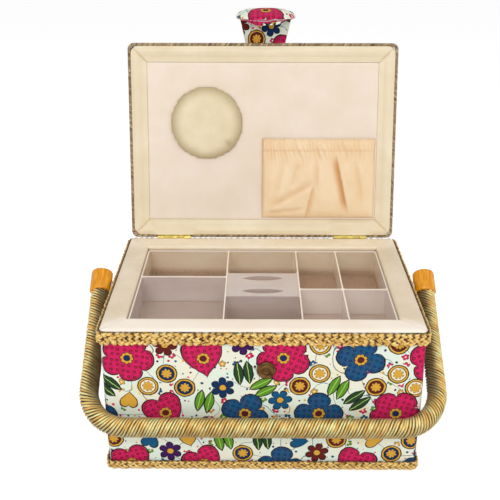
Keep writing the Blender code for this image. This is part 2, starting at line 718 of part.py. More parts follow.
def make_lid_padding(lid_axis):
    """The foam on the lid and the printed cloth drawn over it and down the lid's edges."""
    foam_edge = LID_FOAM_Z + LID_FOAM_EDGE
    foam_top = LID_FOAM_Z + LID_FOAM_CROWN
    foam = crown_loops(LID_WOOD_X, LID_WOOD_Y, WOOD_CORNER, LID_FOAM_Z, foam_edge, foam_top)
    add_object("lid_foam", loft(foam), FOAM, lid_axis)
    lift = GAP + COVER_THICK
    start = LID_COVER_RISE
    inner = crown_loops(LID_WOOD_X + GAP, LID_WOOD_Y + GAP, WOOD_CORNER + GAP, LID_FOAM_Z + GAP,
                        foam_edge + GAP, foam_top + GAP)
    outer = crown_loops(LID_X, LID_Y, CORNER_RADIUS, LID_FOAM_Z + lift, foam_edge + lift, foam_top + lift)
    inner_low = [(x, y, start) for x, y, z in inner[0]]
    outer_low = [(x, y, start) for x, y, z in outer[0]]
    bm = bmesh.new()
    rings = [add_loop(bm, points) for points in inner[::-1] + [inner_low, outer_low] + outer]
    for low, high in zip(rings, rings[1:]):
        bridge(bm, low, high)
    bm.faces.new(rings[0])
    bm.faces.new(rings[-1])
    add_object("lid_fabric", bm, PRINT, lid_axis)


def make_piping(lid_axis):
    loops = []
    for i in range(PIPING_SIDES):
        angle = math.tau * i / PIPING_SIDES
        out = -PIPING_RADIUS + PIPING_RADIUS * math.cos(angle)
        ring = rounded_outline(HALF_WIDTH + out, HALF_DEPTH + out, CORNER_RADIUS + out, mid_y=LID_MID_Y)
        z = PIPING_RISE + PIPING_RADIUS * math.sin(angle)
        loops.append([(x, y, z) for x, y in ring])
    add_object("lid_piping", closed_band(loops), EDGE_CORD, lid_axis)


def make_pincushion(lid_axis):
    base_z = LID_LINING_Z - GAP
    base = rod(PINCUSHION_BASE_RADIUS, PINCUSHION_BASE_THICK, PINCUSHION_SIDES,
               about_z(PINCUSHION_X, PINCUSHION_Y, base_z, -1))
    add_object("pincushion_base", base, SATIN, lid_axis)
    start = base_z - PINCUSHION_BASE_THICK - GAP
    profile = [(0, 0), (PINCUSHION_BASE_RADIUS, 0)]
    for ring in range(PINCUSHION_RINGS):
        angle = math.radians(90) * (ring + 0.5) / PINCUSHION_RINGS
        radius = PINCUSHION_RADIUS * math.cos(angle) ** PINCUSHION_SIDE_POWER
        profile.append((radius, PINCUSHION_HEIGHT * math.sin(angle) ** PINCUSHION_CROWN_POWER))
    profile.append((0, PINCUSHION_HEIGHT))
    cushion = turned(profile, PINCUSHION_SIDES, about_z(PINCUSHION_X, PINCUSHION_Y, start, -1))
    add_object("pincushion", cushion, SATIN, lid_axis)


def pocket_height(across, up):
    """How far the pocket's cloth stands off the lining; across and up are shares from 0 to 1."""
    from_side = min(across, 1 - across) * POCKET_WIDTH
    from_bottom = up * (POCKET_HIGH - POCKET_LOW)
    ramp = min(1.0, from_side / POCKET_RAMP) * min(1.0, from_bottom / POCKET_RAMP)
    ease = math.sin(ramp * math.radians(90))
    fold = POCKET_FOLD * math.cos(math.tau * POCKET_FOLDS * (across + up / POCKET_FOLDS))
    return ease * (POCKET_BULGE - POCKET_FOLD + fold)


def share_steps(count, edge_share):
    """Shares from 0 to 1, with one step close to each end."""
    inner = [edge_share + (1 - 2 * edge_share) * i / (count - 3) for i in range(count - 2)]
    return [0.0] + inner + [1.0]


def make_pocket(lid_axis):
    """A gathered cloth pocket, closed along its sides and bottom and open at the top."""
    columns = share_steps(POCKET_COLUMNS, POCKET_RAMP / POCKET_WIDTH)
    rows = [0.0, POCKET_RAMP / (POCKET_HIGH - POCKET_LOW)]
    rows += [rows[1] + (1 - rows[1]) * i / (POCKET_ROWS - 2) for i in range(1, POCKET_ROWS - 1)]
    base_z = LID_LINING_Z - GAP
    bm = bmesh.new()
    layers = []
    for lift in (0.0, POCKET_CLOTH):
        layer = []
        for up in rows:
            row = []
            for across in columns:
                x = POCKET_LEFT_X + across * POCKET_WIDTH
                y = -(POCKET_LOW + up * (POCKET_HIGH - POCKET_LOW))
                row.append(bm.verts.new((x, y, base_z - pocket_height(across, up) - lift)))
            layer.append(row)
        layers.append(layer)
    inner, outer = layers
    for r in range(len(rows) - 1):
        for c in range(len(columns) - 1):
            bm.faces.new((inner[r][c], inner[r][c + 1], inner[r + 1][c + 1], inner[r + 1][c]))
            bm.faces.new((outer[r][c], outer[r][c + 1], outer[r + 1][c + 1], outer[r + 1][c]))
    edge = [(0, c) for c in range(len(columns) - 1)]
    edge += [(r, len(columns) - 1) for r in range(len(rows) - 1)]
    edge += [(len(rows) - 1, c) for c in range(len(columns) - 1, 0, -1)]
    edge += [(r, 0) for r in range(len(rows) - 1, 0, -1)]
    for (r0, c0), (r1, c1) in zip(edge, edge[1:] + edge[:1]):
        bm.faces.new((inner[r0][c0], inner[r1][c1], outer[r1][c1], outer[r0][c0]))
    add_object("pocket", bm, POCKET_SATIN, lid_axis)


def make_elastic(lid_axis):
    """The flat elastic just behind the pocket's mouth, where the folds of the cloth touch it."""
    left = POCKET_LEFT_X + ELASTIC_END
    right = POCKET_LEFT_X + POCKET_WIDTH - ELASTIC_END
    top = POCKET_HIGH - ELASTIC_DROP
    front = LID_LINING_Z - POCKET_BULGE + 2 * POCKET_FOLD
    elastic = box(left, right, -top, -top + ELASTIC_WIDTH, front, front + ELASTIC_THICK)
    add_object("pocket_elastic", elastic, ELASTIC, lid_axis)


def flap_loop(along_inner, along_outer, half_width):
    """A loop across the flap: a flat section with its long edges rounded off."""
    inner, outer = TAB_INNER, TAB_OUTER
    soft = TAB_EDGE_ROUND
    points = []
    for x, z in ((half_width, inner + soft), (half_width, outer - soft), (half_width - soft, outer),
                 (-half_width + soft, outer), (-half_width, outer - soft), (-half_width, inner + soft),
                 (-half_width + soft, inner), (half_width - soft, inner)):
        share = (z - inner) / TAB_THICK
        points.append((x, -(along_inner + share * (along_outer - along_inner)), z))
    return points


def make_tab(root_axis, tip_axis):
    """The closure flap in two lengths that fold on each other across its outer face."""
    mitre = TAB_THICK / math.tan(math.radians(180 - TAB_FOLD_DEG) / 2)
    half_root, half_fold = TAB_ROOT_WIDTH / 2, TAB_FOLD_WIDTH / 2
    start = -(LID_COVER_IN + TAB_AXIS_OUT - GAP)
    middle = TAB_ROOT_LENGTH / 2
    root = [flap_loop(start, start, half_root), flap_loop(middle, middle, (half_root + half_fold) / 2),
            flap_loop(TAB_ROOT_LENGTH - mitre - GAP, TAB_ROOT_LENGTH - GAP, half_fold)]
    add_object("tab_root", loft(root), PRINT, root_axis)
    loops = [flap_loop(mitre + GAP, GAP, half_fold)]
    straight = TAB_TIP_LENGTH - TAB_TIP_ROUND
    for i in range(TAB_TIP_STEPS):
        angle = math.radians(90) * i / TAB_TIP_STEPS
        along = straight + TAB_TIP_ROUND * math.sin(angle)
        loops.append(flap_loop(along, along, TAB_WIDEST / 2 * math.cos(angle) ** TAB_TIP_POWER))
    loops = [[(x, y, z - TAB_OUTER) for x, y, z in loop] for loop in loops]
    add_object("tab_tip", loft(loops), PRINT, tip_axis)
    stud_along = HINGE_Z + TAB_AXIS_RISE - SNAP_Z - TAB_ROOT_LENGTH
    stud_face = -TAB_THICK - GAP
    rim = SNAP_STUD_THICK
    profile = ((0, 0), (SNAP_RADIUS, 0), (SNAP_RADIUS, rim - SNAP_SOCKET_DISH),
               (SNAP_RADIUS - SNAP_SOCKET_DISH, rim), (SNAP_POST_RADIUS, rim),
               (SNAP_POST_RADIUS, rim + SNAP_POST_LENGTH), (0, rim + SNAP_POST_LENGTH))
    stud = turned(profile, SNAP_SIDES, about_z(0.0, -stud_along, stud_face, -1))
    add_object("tab_snap_stud", stud, BRONZE, tip_axis, roughness=0.4, metallic=1.0)


def make_socket():
    """The half of the snap on the front wall, with its stem through the board and a disc behind."""
    face = -HALF_DEPTH - GAP
    dish = SNAP_SOCKET_THICK - SNAP_SOCKET_DISH
    floor = SNAP_SOCKET_THICK - SNAP_SOCKET_SINK
    flat = SNAP_RADIUS - SNAP_RIM_WIDTH
    stem = COVER_THICK + BOARD_THICK + 2 * GAP
    profile = ((0, -stem), (SNAP_STEM_RADIUS, -stem), (SNAP_STEM_RADIUS, 0), (SNAP_RADIUS, 0),
               (SNAP_RADIUS, dish), (SNAP_RADIUS - SNAP_SOCKET_DISH, SNAP_SOCKET_THICK),
               (flat + SNAP_SOCKET_DISH, SNAP_SOCKET_THICK), (flat, dish), (SNAP_SOCKET_BORE, dish),
               (SNAP_SOCKET_BORE, floor), (0, floor))
    socket = turned(profile, SNAP_SIDES, about_y(TAB_X, face, SNAP_Z, -1))
    add_object("snap_socket", socket, BRONZE, roughness=0.4, metallic=1.0)
    backing = rod(SNAP_BACK_RADIUS, SNAP_BACK_THICK, SNAP_SIDES, about_y(TAB_X, -WALL_Y + GAP, SNAP_Z))
    add_object("snap_backing", backing, STEEL, roughness=0.4, metallic=1.0)


def rounded_pocket(x0, x1, y0, y1, low, high):
    outline = rounded_outline((x1 - x0) / 2, (y1 - y0) / 2, TRAY_CORNER, TRAY_CORNER_STEPS)
    mid_x, mid_y = (x0 + x1) / 2, (y0 + y1) / 2
    return prism([(x + mid_x, y + mid_y) for x, y in outline], low, high)


def make_tray():
    """A clear moulded tray: eight compartments round a raised step with two finger scoops."""
    outer = rounded_outline(TRAY_X, (TRAY_BACK - TRAY_FRONT) / 2, TRAY_CORNER, TRAY_CORNER_STEPS,
                            (TRAY_BACK + TRAY_FRONT) / 2)
    tray = add_object("tray", prism(outer, TRAY_BOTTOM, TRAY_TOP), PLASTIC, roughness=0.25, alpha=0.6)
    half = TRAY_DIVIDER / 2
    left, right = -TRAY_CENTRE_COLUMN / 2, TRAY_CENTRE_COLUMN / 2
    far = right + TRAY_RIGHT_COLUMN
    back, front = TRAY_BACK - TRAY_WALL, TRAY_FRONT + TRAY_WALL
    side = TRAY_X - TRAY_WALL
    step_back = TRAY_STEP_FRONT_Y + TRAY_STEP_DEPTH
    rooms = ((-side, left - half, front, TRAY_LEFT_CROSS_Y - half),
             (-side, left - half, TRAY_LEFT_CROSS_Y + half, back),
             (left + half, right - half, front, TRAY_STEP_FRONT_Y),
             (left + half, right - half, step_back, back),
             (right + half, far - half, front, TRAY_RIGHT_CROSS_Y - half),
             (right + half, far - half, TRAY_RIGHT_CROSS_Y + half, back),
             (far + half, side, front, TRAY_RIGHT_CROSS_Y - half),
             (far + half, side, TRAY_RIGHT_CROSS_Y + half, back))
    floor = TRAY_BOTTOM + TRAY_FLOOR
    over = TRAY_TOP + CUT_OVERRUN
    cuts = [rounded_pocket(*room, floor, over) for room in rooms]
    step_top = TRAY_TOP - TRAY_STEP_DROP
    subtract(tray, add_object("tray_rooms", merge(*cuts), STEEL))
    shave = box(left + half, right - half, TRAY_STEP_FRONT_Y - half, step_back + half, step_top, over)
    subtract(tray, add_object("tray_step_shave", shave, STEEL))
    hollow_top = step_top - TRAY_STEP_SLAB
    hollow = box(left + half, right - half, TRAY_STEP_FRONT_Y + TRAY_WALL, step_back - TRAY_WALL,
                 TRAY_BOTTOM - CUT_OVERRUN, hollow_top)
    subtract(tray, add_object("tray_step_hollow", hollow, STEEL))
    mid_y = TRAY_STEP_FRONT_Y + TRAY_STEP_DEPTH / 2
    scoops = []
    for direction in (-1, 1):
        centre = mid_y + direction * SCOOP_SPACING / 2
        outline = []
        for end in (1, -1):
            for i in range(SCOOP_STEPS):
                share = end * (1 - 2 * i / SCOOP_STEPS)
                bulge = 1 - abs(share) ** SCOOP_ROUNDNESS
                outline.append((share * SCOOP_WIDTH / 2, centre + end * bulge * SCOOP_DEPTH / 2))
        scoops.append(prism(outline, step_top - SCOOP_SINK, over))
    subtract(tray, add_object("tray_scoops", merge(*scoops), STEEL))
    tray.parent = add_axis("tray_axis", (0.0, 0.0, 0.0))


def handle_point(along):
    """A point on the handle's centre line and its direction, from the left pivot by arc length."""
    arm = HANDLE_REACH - HANDLE_CORNER
    bend = HANDLE_CORNER * math.radians(90)
    half_bar = HANDLE_ARM_X - HANDLE_CORNER
    total = 2 * (arm + bend + half_bar)
    mirror = along > total / 2
    s = total - along if mirror else along
    if s <= arm:
        place, way = Vector((-HANDLE_ARM_X, -s, 0.0)), Vector((0.0, -1.0, 0.0))
    elif s <= arm + bend:
        angle = (s - arm) / HANDLE_CORNER
        out, down = HANDLE_CORNER * math.cos(angle), HANDLE_CORNER * math.sin(angle)
        place = Vector((-half_bar - out, -arm - down, 0.0))
        way = Vector((math.sin(angle), -math.cos(angle), 0.0))
    else:
        place, way = Vector((-half_bar + s - arm - bend, -HANDLE_REACH, 0.0)), Vector((1.0, 0.0, 0.0))
    if mirror:
        place.x, way.y = -place.x, -way.y
    return place, way


def handle_length():
    bend = HANDLE_CORNER * math.radians(90)
    return 2 * (HANDLE_REACH - HANDLE_CORNER + bend + HANDLE_ARM_X - HANDLE_CORNER)


def around_handle(along, angle, radius):
    place, way = handle_point(along)
    side = Vector((-way.y, way.x, 0.0))
    return place + radius * (math.cos(angle) * side + math.sin(angle) * Vector((0.0, 0.0, 1.0)))


def handle_stations(start, end):
    """Lengths along the handle at which a tube needs a ring."""
    arm = HANDLE_REACH - HANDLE_CORNER
    bend = HANDLE_CORNER * math.radians(90)
    half = [start] + [arm + bend * i / HANDLE_CORNER_STEPS for i in range(HANDLE_CORNER_STEPS + 1)]
    total = handle_length()
    return half + [total - s for s in half[:0:-1]] + [end]


def handle_ring(bm, along, radius, sides):
    return add_loop(bm, [around_handle(along, math.tau * i / sides, radius) for i in range(sides)])


def make_core(handle_axis):
    start = -CAP_BEYOND_PIVOT + CAP_END_THICK + CORE_FIT
    bm = bmesh.new()
    stations = handle_stations(start, handle_length() - start)
    rings = [handle_ring(bm, along, CORE_RADIUS, CORE_SIDES) for along in stations]
    for low, high in zip(rings, rings[1:]):
        bridge(bm, low, high)
    bm.faces.new(rings[0])
    bm.faces.new(rings[-1])
    core = add_object("handle_core", bm, WOOD, handle_axis)
    for side, tag in ((-1, "left"), (1, "right")):
        subtract(core, bolt_hole("core_" + tag, side))


def make_winding(handle_axis):
    """The twine wound round the handle, as one unbroken screw-shaped ridge over a plain bore."""
    sides = WINDING_SIDES
    first = CAP_BEFORE_PIVOT + GAP
    last = handle_length() - first
    turns = round((last - first) / WINDING_PITCH) - 1
    pitch = (last - first) / (turns + 1)
    lead = pitch / 2
    count = turns * sides
    bm = bmesh.new()
    crest = []
    for k in range(count + 1):
        ramp = min(1.0, k / sides, (count - k) / sides)
        radius = WINDING_ROOT_RADIUS + (WINDING_RADIUS - WINDING_ROOT_RADIUS) * ramp
        along = first + lead + pitch * k / sides
        crest.append(bm.verts.new(around_handle(along, math.tau * k / sides, radius)))
    root = []
    for k in range(count - sides + 1):
        along = first + lead + pitch * (k / sides + 0.5)
        root.append(bm.verts.new(around_handle(along, math.tau * k / sides, WINDING_ROOT_RADIUS)))
    for k in range(count - sides):
        bm.faces.new((crest[k], crest[k + 1], root[k + 1], root[k]))
        bm.faces.new((root[k], root[k + 1], crest[k + 1 + sides], crest[k + sides]))
    bores = [handle_ring(bm, s, WINDING_BORE_RADIUS, sides) for s in handle_stations(first, last)]
    for low, high in zip(bores, bores[1:]):
        bridge(bm, low, high)
    for bore, along, turn in ((bores[0], first, 0), (bores[-1], last, count - sides)):
        face = handle_ring(bm, along, WINDING_ROOT_RADIUS, sides)
        bridge(bm, bore, face)
        for j in range(sides):
            bm.faces.new((face[j], face[(j + 1) % sides], crest[turn + j + 1], crest[turn + j]))
        bm.faces.new((face[0], crest[turn], crest[turn + sides]))
        bm.faces.new((crest[turn], root[turn], crest[turn + sides]))
    add_object("handle_winding", bm, TWINE, handle_axis, roughness=0.75)


def make_caps(handle_axis):
    """The two end caps that the pivot bolts run through."""
    for name, side in (("handle_cap_left", -1), ("handle_cap_right", 1)):
        bore = CORE_RADIUS + CORE_FIT
        end = CAP_BEYOND_PIVOT
        profile = [(0, end - CAP_END_THICK), (bore, end - CAP_END_THICK), (bore, -CAP_BEFORE_PIVOT),
                   (CAP_RADIUS, -CAP_BEFORE_PIVOT)]
        for step in range(CAP_ROUND_STEPS + 1):
            angle = math.radians(90) * step / CAP_ROUND_STEPS
            inset = CAP_ROUND * (1 - math.cos(angle))
            profile.append((CAP_RADIUS - inset, end - CAP_ROUND * (1 - math.sin(angle))))
        profile.append((0, end))
        cap = turned(profile, CAP_SIDES, about_y(side * HANDLE_ARM_X, 0.0, 0.0))
        cap_object = add_object(name, cap, ORANGE, handle_axis, roughness=0.35)
        subtract(cap_object, bolt_hole(name, side))


def make_bolts():
    for tag, side in (("left", -1), ("right", 1)):
        start = ROOM_X - GAP
        length = HANDLE_ARM_X + BOLT_BITE - start
        profile = ((0, -BOLT_HEAD_THICK), (BOLT_HEAD_RADIUS, -BOLT_HEAD_THICK), (BOLT_HEAD_RADIUS, 0),
                   (BOLT_RADIUS, 0), (BOLT_RADIUS, length), (0, length))
        bolt = turned(profile, BOLT_SIDES, about_x(side * start, 0.0, PIVOT_Z, side))
        add_object("handle_bolt_" + tag, bolt, STEEL, roughness=0.35, metallic=1.0)
        far = SPACER_X + SPACER_LENGTH
        hole = BOLT_RADIUS + BOLT_CLEARANCE
        loops = []
        for radius, along in ((hole, SPACER_X), (SPACER_RADIUS, SPACER_X), (SPACER_RADIUS, far), (hole, far)):
            place = about_x(0.0, 0.0, PIVOT_Z, side)
            loops.append([place(radius, math.tau * i / BOLT_SIDES, along) for i in range(BOLT_SIDES)])
        add_object("handle_spacer_" + tag, closed_band(loops), STEEL, roughness=0.35, metallic=1.0)


def main():
    clear_scene()
    make_box()
    make_cover()
    make_braids()
    make_lining()
    make_rim()
    lid_axis = add_axis("lid_axis", (0.0, HINGE_Y, HINGE_Z), -(90 + LID_LEAN_DEG))
    make_hinges(lid_axis)
    make_lid_frame(lid_axis)
    make_lid_padding(lid_axis)
    make_piping(lid_axis)
    make_pincushion(lid_axis)
    make_pocket(lid_axis)
    make_elastic(lid_axis)
    root_axis = add_axis("tab_root_axis", (TAB_X, LID_FRONT - TAB_AXIS_OUT, TAB_AXIS_RISE), 0.0, lid_axis)
    fold = (0.0, -TAB_ROOT_LENGTH, TAB_OFFSET + TAB_THICK / 2)
    tip_axis = add_axis("tab_tip_axis", fold, TAB_FOLD_DEG, root_axis)
    make_tab(root_axis, tip_axis)
    make_socket()
    make_tray()
    hang = math.degrees(math.atan2(HANDLE_HANG, HANDLE_BAR_Y))
    handle_axis = add_axis("handle_axis", (0.0, 0.0, PIVOT_Z), hang)
    make_core(handle_axis)
    make_winding(handle_axis)
    make_caps(handle_axis)
    make_bolts()


main()
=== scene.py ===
"""Dresses the sewing basket: printed cloth, satin, straw, twine and clear plastic over the CAD frame.

Metres, +Z up, +X right, the back of the basket at +Y. The lid stands open at rest.
"""
import math
from functools import partialmethod

import bmesh
import bpy
import numpy as np
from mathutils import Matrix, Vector
from mathutils.bvhtree import BVHTree


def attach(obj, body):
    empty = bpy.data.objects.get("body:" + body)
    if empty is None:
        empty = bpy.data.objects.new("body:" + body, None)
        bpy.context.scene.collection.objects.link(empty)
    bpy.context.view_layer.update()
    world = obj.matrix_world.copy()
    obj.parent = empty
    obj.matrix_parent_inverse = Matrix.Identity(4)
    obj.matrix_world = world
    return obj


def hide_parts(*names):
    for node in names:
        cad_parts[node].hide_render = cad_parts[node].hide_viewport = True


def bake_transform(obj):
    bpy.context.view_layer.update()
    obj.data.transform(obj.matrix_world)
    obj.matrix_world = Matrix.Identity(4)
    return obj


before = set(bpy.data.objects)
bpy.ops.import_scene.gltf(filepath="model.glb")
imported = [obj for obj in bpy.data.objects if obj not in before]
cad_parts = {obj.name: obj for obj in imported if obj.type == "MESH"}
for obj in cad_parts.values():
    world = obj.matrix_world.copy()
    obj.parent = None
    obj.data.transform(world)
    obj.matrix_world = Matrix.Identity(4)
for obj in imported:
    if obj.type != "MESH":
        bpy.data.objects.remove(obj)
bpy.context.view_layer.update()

TAU = math.tau
QUARTER = math.tau / 4

# Camera and studio
CAMERA_PLACE = (-0.0067, -0.7644, 0.5206)
CAMERA_TURN_DEG = (90 - 23.6, 0.0, 0.4685)
CAMERA_LENS = 59.11
CAMERA_SENSOR = 36.0
CAMERA_CLIP = (0.02, 60.0)
WHITE = (1.0, 1.0, 1.0, 1.0)
ROOM_GLOW = (0.52, 1.0)  # as light, and where it is seen itself
FLOOR_GLOW = 0.46
FLOOR_TONES = ((0.98, 0.98, 0.98, 1.0), (0.96, 0.96, 0.96, 1.0))
FLOOR_HALF = 14.0
FLOOR_DROP = 0.0002
LAMP_AIM = (0.0, 0.0, 0.12)
LAMPS = (  # name, place, size, watts
    ("key_lamp", (-0.45, -1.45, 1.10), 0.9, 11.8),
    ("fill_lamp", (0.95, -0.95, 0.80), 1.0, 4.2),
    ("top_lamp", (0.1, 0.25, 1.5), 1.0, 2.4))

# Box, as in the CAD frame
HALF_WIDTH = 0.150
HALF_DEPTH = 0.109
CORNER = 0.005
COVER_THICK = 0.0012
COVER_LOW = 0.0006
COVER_HIGH = 0.1526
COVER_PUFF = 0.0009
RIM_BASE = 0.1505
RIM_TOP = 0.155
RIM_OUT_X = 0.1505
RIM_OUT_Y = 0.1094
RIM_ROUND = 0.0055
MOUTH_X = 0.1285
MOUTH_FRONT = -0.087
MOUTH_BACK = 0.082
TOP_BRAID = (0.1402, 0.1529, 0.0043)  # low edge, high edge, how far it stands out
BOTTOM_BRAID = (0.0006, 0.0096, 0.0036)

# Lid, in its own closed frame: y back from the hinge axis, z up from the inner face
HINGE_X = 0.101
HINGE_Y = 0.1085
HINGE_Z = 0.1553
LEAN = math.radians(12.7)
LID_UP = np.array([math.sin(LEAN), math.cos(LEAN)])  # y and z at rest, from the hinge to the free edge
LID_BACK = np.array([math.cos(LEAN), -math.sin(LEAN)])
LID_MID_Y = -0.1085
LID_X = 0.1467
LID_Y = 0.1057
LID_WOOD_X = 0.1452
LID_WOOD_Y = 0.1042
FIELD_X = 0.1296
FIELD_Y = 0.0886
RAIL_THICK = 0.011
STRIP_STEP = 0.0022
FIELD_Z = 0.0042
BORDER_Z = 0.0006
FOAM_Z = 0.0156
PAD_EDGE = 0.0206
PAD_CROWN = 0.0276
PAD_LIFT = 0.0018  # the cloth's share of the pad's height
PAD_INSET = 0.006
CORD_LOOP = (0.1484, 0.1074, 0.0052)
CORD_Z = 0.0038

# Cloth that is blown up
CLOTH = {"quality": 6, "mass": 0.15, "tension_stiffness": 14.0, "compression_stiffness": 14.0,
         "shear_stiffness": 4.0, "bending_stiffness": 0.25, "use_pressure": True}
CLOTH_FRAMES = 20

# On the lid's inside
CUSHION_RADIUS = 0.0405
CUSHION_HIGH = 0.0080
POCKET_LEFT = -0.0003
POCKET_LOW = 0.0225
POCKET_WIDTH = 0.128
POCKET_TALL = 0.090
POCKET_FULL = 0.0054

# Snap
SNAP_X = 0.003
SNAP_Z = 0.113

# Closure flap
FLAP_AXIS = np.array([0.168133, 0.365329])  # y and z of its fold at the lid's edge
FLAP_OUT = 0.0068
FLAP_FOLD = math.radians(111.0)
FLAP_TURN = 0.0034
FLAP_REACH = FLAP_TURN * math.tan(FLAP_FOLD / 2)
FLAP_ARC = FLAP_TURN * FLAP_FOLD
FLAP_ROOT = 0.034
FLAP_TIP = 0.037
FLAP_START = -0.0033
FLAP_STUD = 0.0203

# Handle
PIVOT_Z = 0.146
ARM_X = 0.1675
HANDLE_OUT = 0.1241
HANDLE_HANG = 0.0878
HANDLE_REACH = math.hypot(HANDLE_OUT, HANDLE_HANG)
HANDLE_ANGLE = math.atan2(HANDLE_HANG, HANDLE_OUT)
HANDLE_CORNER = 0.038
HANDLE_ARM = HANDLE_REACH - HANDLE_CORNER
HANDLE_BEND = HANDLE_CORNER * QUARTER
HALF_BAR = ARM_X - HANDLE_CORNER
HANDLE_LENGTH = 2 * (HANDLE_ARM + HANDLE_BEND + HALF_BAR)


def srgb(red, green, blue):
    """A linear colour from the usual 0 to 255 numbers."""
    values = [v / 255 for v in (red, green, blue)]
    return (*(v / 12.92 if v <= 0.04045 else ((v + 0.055) / 1.055) ** 2.4 for v in values), 1.0)


class Value:
    """A socket of a node graph, a number or a vector, that takes part in sums."""

    def __init__(self, graph, socket):
        self.graph, self.socket = graph, socket

    def do(self, operation, *others, out=0, **settings):
        kind = "ShaderNodeMath" if self.socket.type == "VALUE" else "ShaderNodeVectorMath"
        return self.graph.node(kind, (self, *others), out, operation=operation, **settings)

    __add__ = partialmethod(do, "ADD")
    __sub__ = partialmethod(do, "SUBTRACT")
    __mul__ = partialmethod(do, "MULTIPLY")
    __truediv__ = partialmethod(do, "DIVIDE")
    __gt__ = partialmethod(do, "GREATER_THAN")
    __lt__ = partialmethod(do, "LESS_THAN")
    __abs__ = partialmethod(do, "ABSOLUTE")
    line = partialmethod(do, "MULTIPLY_ADD")
    length = partialmethod(do, "LENGTH", out=1)

    def split(self):
        made = self.graph.make("ShaderNodeSeparateXYZ", (self,))
        return [Value(self.graph, socket) for socket in made.outputs]


class Graph:
    """The node tree of a new material, or of a world."""

    SOCKETS = {"colour": "Base Color", "rough": "Roughness", "metal": "Metallic", "normal": "Normal",
               "sheen": "Sheen Weight", "sheen_rough": "Sheen Roughness", "alpha": "Alpha",
               "specular": "Specular IOR Level", "coat": "Coat Weight", "coat_rough": "Coat Roughness",
               "glow": "Emission Color", "glow_power": "Emission Strength"}

    def __init__(self, name, owner=None):
        self.owner = owner or bpy.data.materials.new(name)
        self.owner.use_nodes = True
        self.tree = self.owner.node_tree

    def put(self, socket, value):
        if isinstance(value, Value):
            self.tree.links.new(value.socket, socket)
        elif value is not None:
            socket.default_value = value

    def make(self, kind, values=(), **settings):
        """A new node; values are its inputs in order, or in a dict by name or number."""
        made = self.tree.nodes.new(kind)
        for key, value in settings.items():
            setattr(made, key, value)
        for key, value in (values if isinstance(values, dict) else dict(enumerate(values))).items():
            self.put(made.inputs[key], value)
        return made

    def node(self, kind, values=(), out=0, **settings):
        return Value(self, self.make(kind, values, **settings).outputs[out])

    def place(self):
        return self.node("ShaderNodeTexCoord", out=3)

    def uv(self):
        return self.node("ShaderNodeTexCoord", out=2)

    def attribute(self, name):
        return self.node("ShaderNodeAttribute", out=2, attribute_name=name)

    def seen(self):
        """1 where it is seen straight, in a mirror or through something clear, and 0 as light."""
        rays = self.make("ShaderNodeLightPath").outputs
        straight, mirrored, through = (Value(self, rays[kind + " Ray"])
                                       for kind in ("Is Camera", "Is Glossy", "Is Transmission"))
        return straight.do("MAXIMUM", mirrored).do("MAXIMUM", through)

    def finish(self, **sockets):
        for key, value in sockets.items():
            self.put(self.tree.nodes["Principled BSDF"].inputs[self.SOCKETS[key]], value)
        return self.owner


def join(x, y, z=0.0):
    return x.graph.node("ShaderNodeCombineXYZ", (x, y, z))


def mix(share, a, b, blend="MIX"):
    """From a to b, two colours or two numbers."""
    numbers = isinstance(a, Value) and a.socket.type == "VALUE"
    kind, first, out = ("FLOAT", 2, 0) if numbers else ("RGBA", 6, 2)
    return share.graph.node("ShaderNodeMix", {0: share, first: a, first + 1: b}, out, data_type=kind,
                            blend_type=blend)


def fade(value, low, high, to_low=0.0, to_high=1.0, kind="LINEAR"):
    """From to_low, where a value is low or beyond it, to to_high."""
    values = (value, low, high, to_low, to_high)
    return value.graph.node("ShaderNodeMapRange", values, interpolation_type=kind)


def noise(place, scale, detail=2.0, rough=0.5, out=0):
    values = {"Vector": place, "Scale": scale, "Detail": detail, "Roughness": rough}
    return place.graph.node("ShaderNodeTexNoise", values, out)


def bump(height, distance, strength=1.0):
    values = {"Strength": strength, "Distance": distance, "Height": height}
    return height.graph.node("ShaderNodeBump", values)


def cell(place, width, height, shift=(0.0, 0.0), jitter=0.0, seed=0.0):
    """The way from the middle of the cell that a point is in, and three random numbers of that cell."""
    half = (0.5, 0.5, 0.5)
    moved = (place + (*shift, 0.0)) / (width, height, 1.0)
    corner = moved.do("FLOOR")
    chance = place.graph.node("ShaderNodeTexWhiteNoise", (corner + (seed, seed / 3, 0.5),), 1,
                              noise_dimensions="3D")
    local = (moved - corner - (0.5, 0.5, 0.0)) * (width, height, 0.0)
    if jitter:
        local = local - (chance - half) * (2 * jitter, 2 * jitter, 0.0)
    return local, chance


def turned(local, turn):
    return local.graph.node("ShaderNodeVectorRotate", {"Vector": local, "Angle": turn * TAU},
                            rotation_type="Z_AXIS")


def flower(local, size, petals, depth=0.45):
    """The distance from a flower's outline, below 0 inside; so too for the next two."""
    x, y, _ = local.split()
    petal = abs((y.do("ARCTAN2", x) * (petals / 2)).do("COSINE")).do("SQRT")
    return local.length() - petal.line(depth * size, (1 - depth) * size)


def heart(local, size):
    x, y, _ = (local / (size, size, 1.0)).split()
    x = abs(x)
    y = y.line(1.12, 0.22) - x.do("SQRT") * 0.72
    return (join(x, y).length() - 0.86) * size


def leaf(x, y, size, fat=0.42):
    """A pointed oval, as where two discs overlap."""
    reach = size * (1 + fat * fat) / (2 * fat)
    return join(x, abs(y) + (reach - fat * size)).length() - reach


def inside(distance, soft=0.12):
    return fade(distance, soft, -soft)


def stroke(distance, width, soft=0.12):
    return fade(abs(distance), width + soft, width - soft)


def pick(chance, shares, values):
    """One of several values, by a random number; shares are where each next value starts."""
    result = values[0]
    for share, value in zip(shares, values[1:]):
        result = mix(chance > share, result, value)
    return result


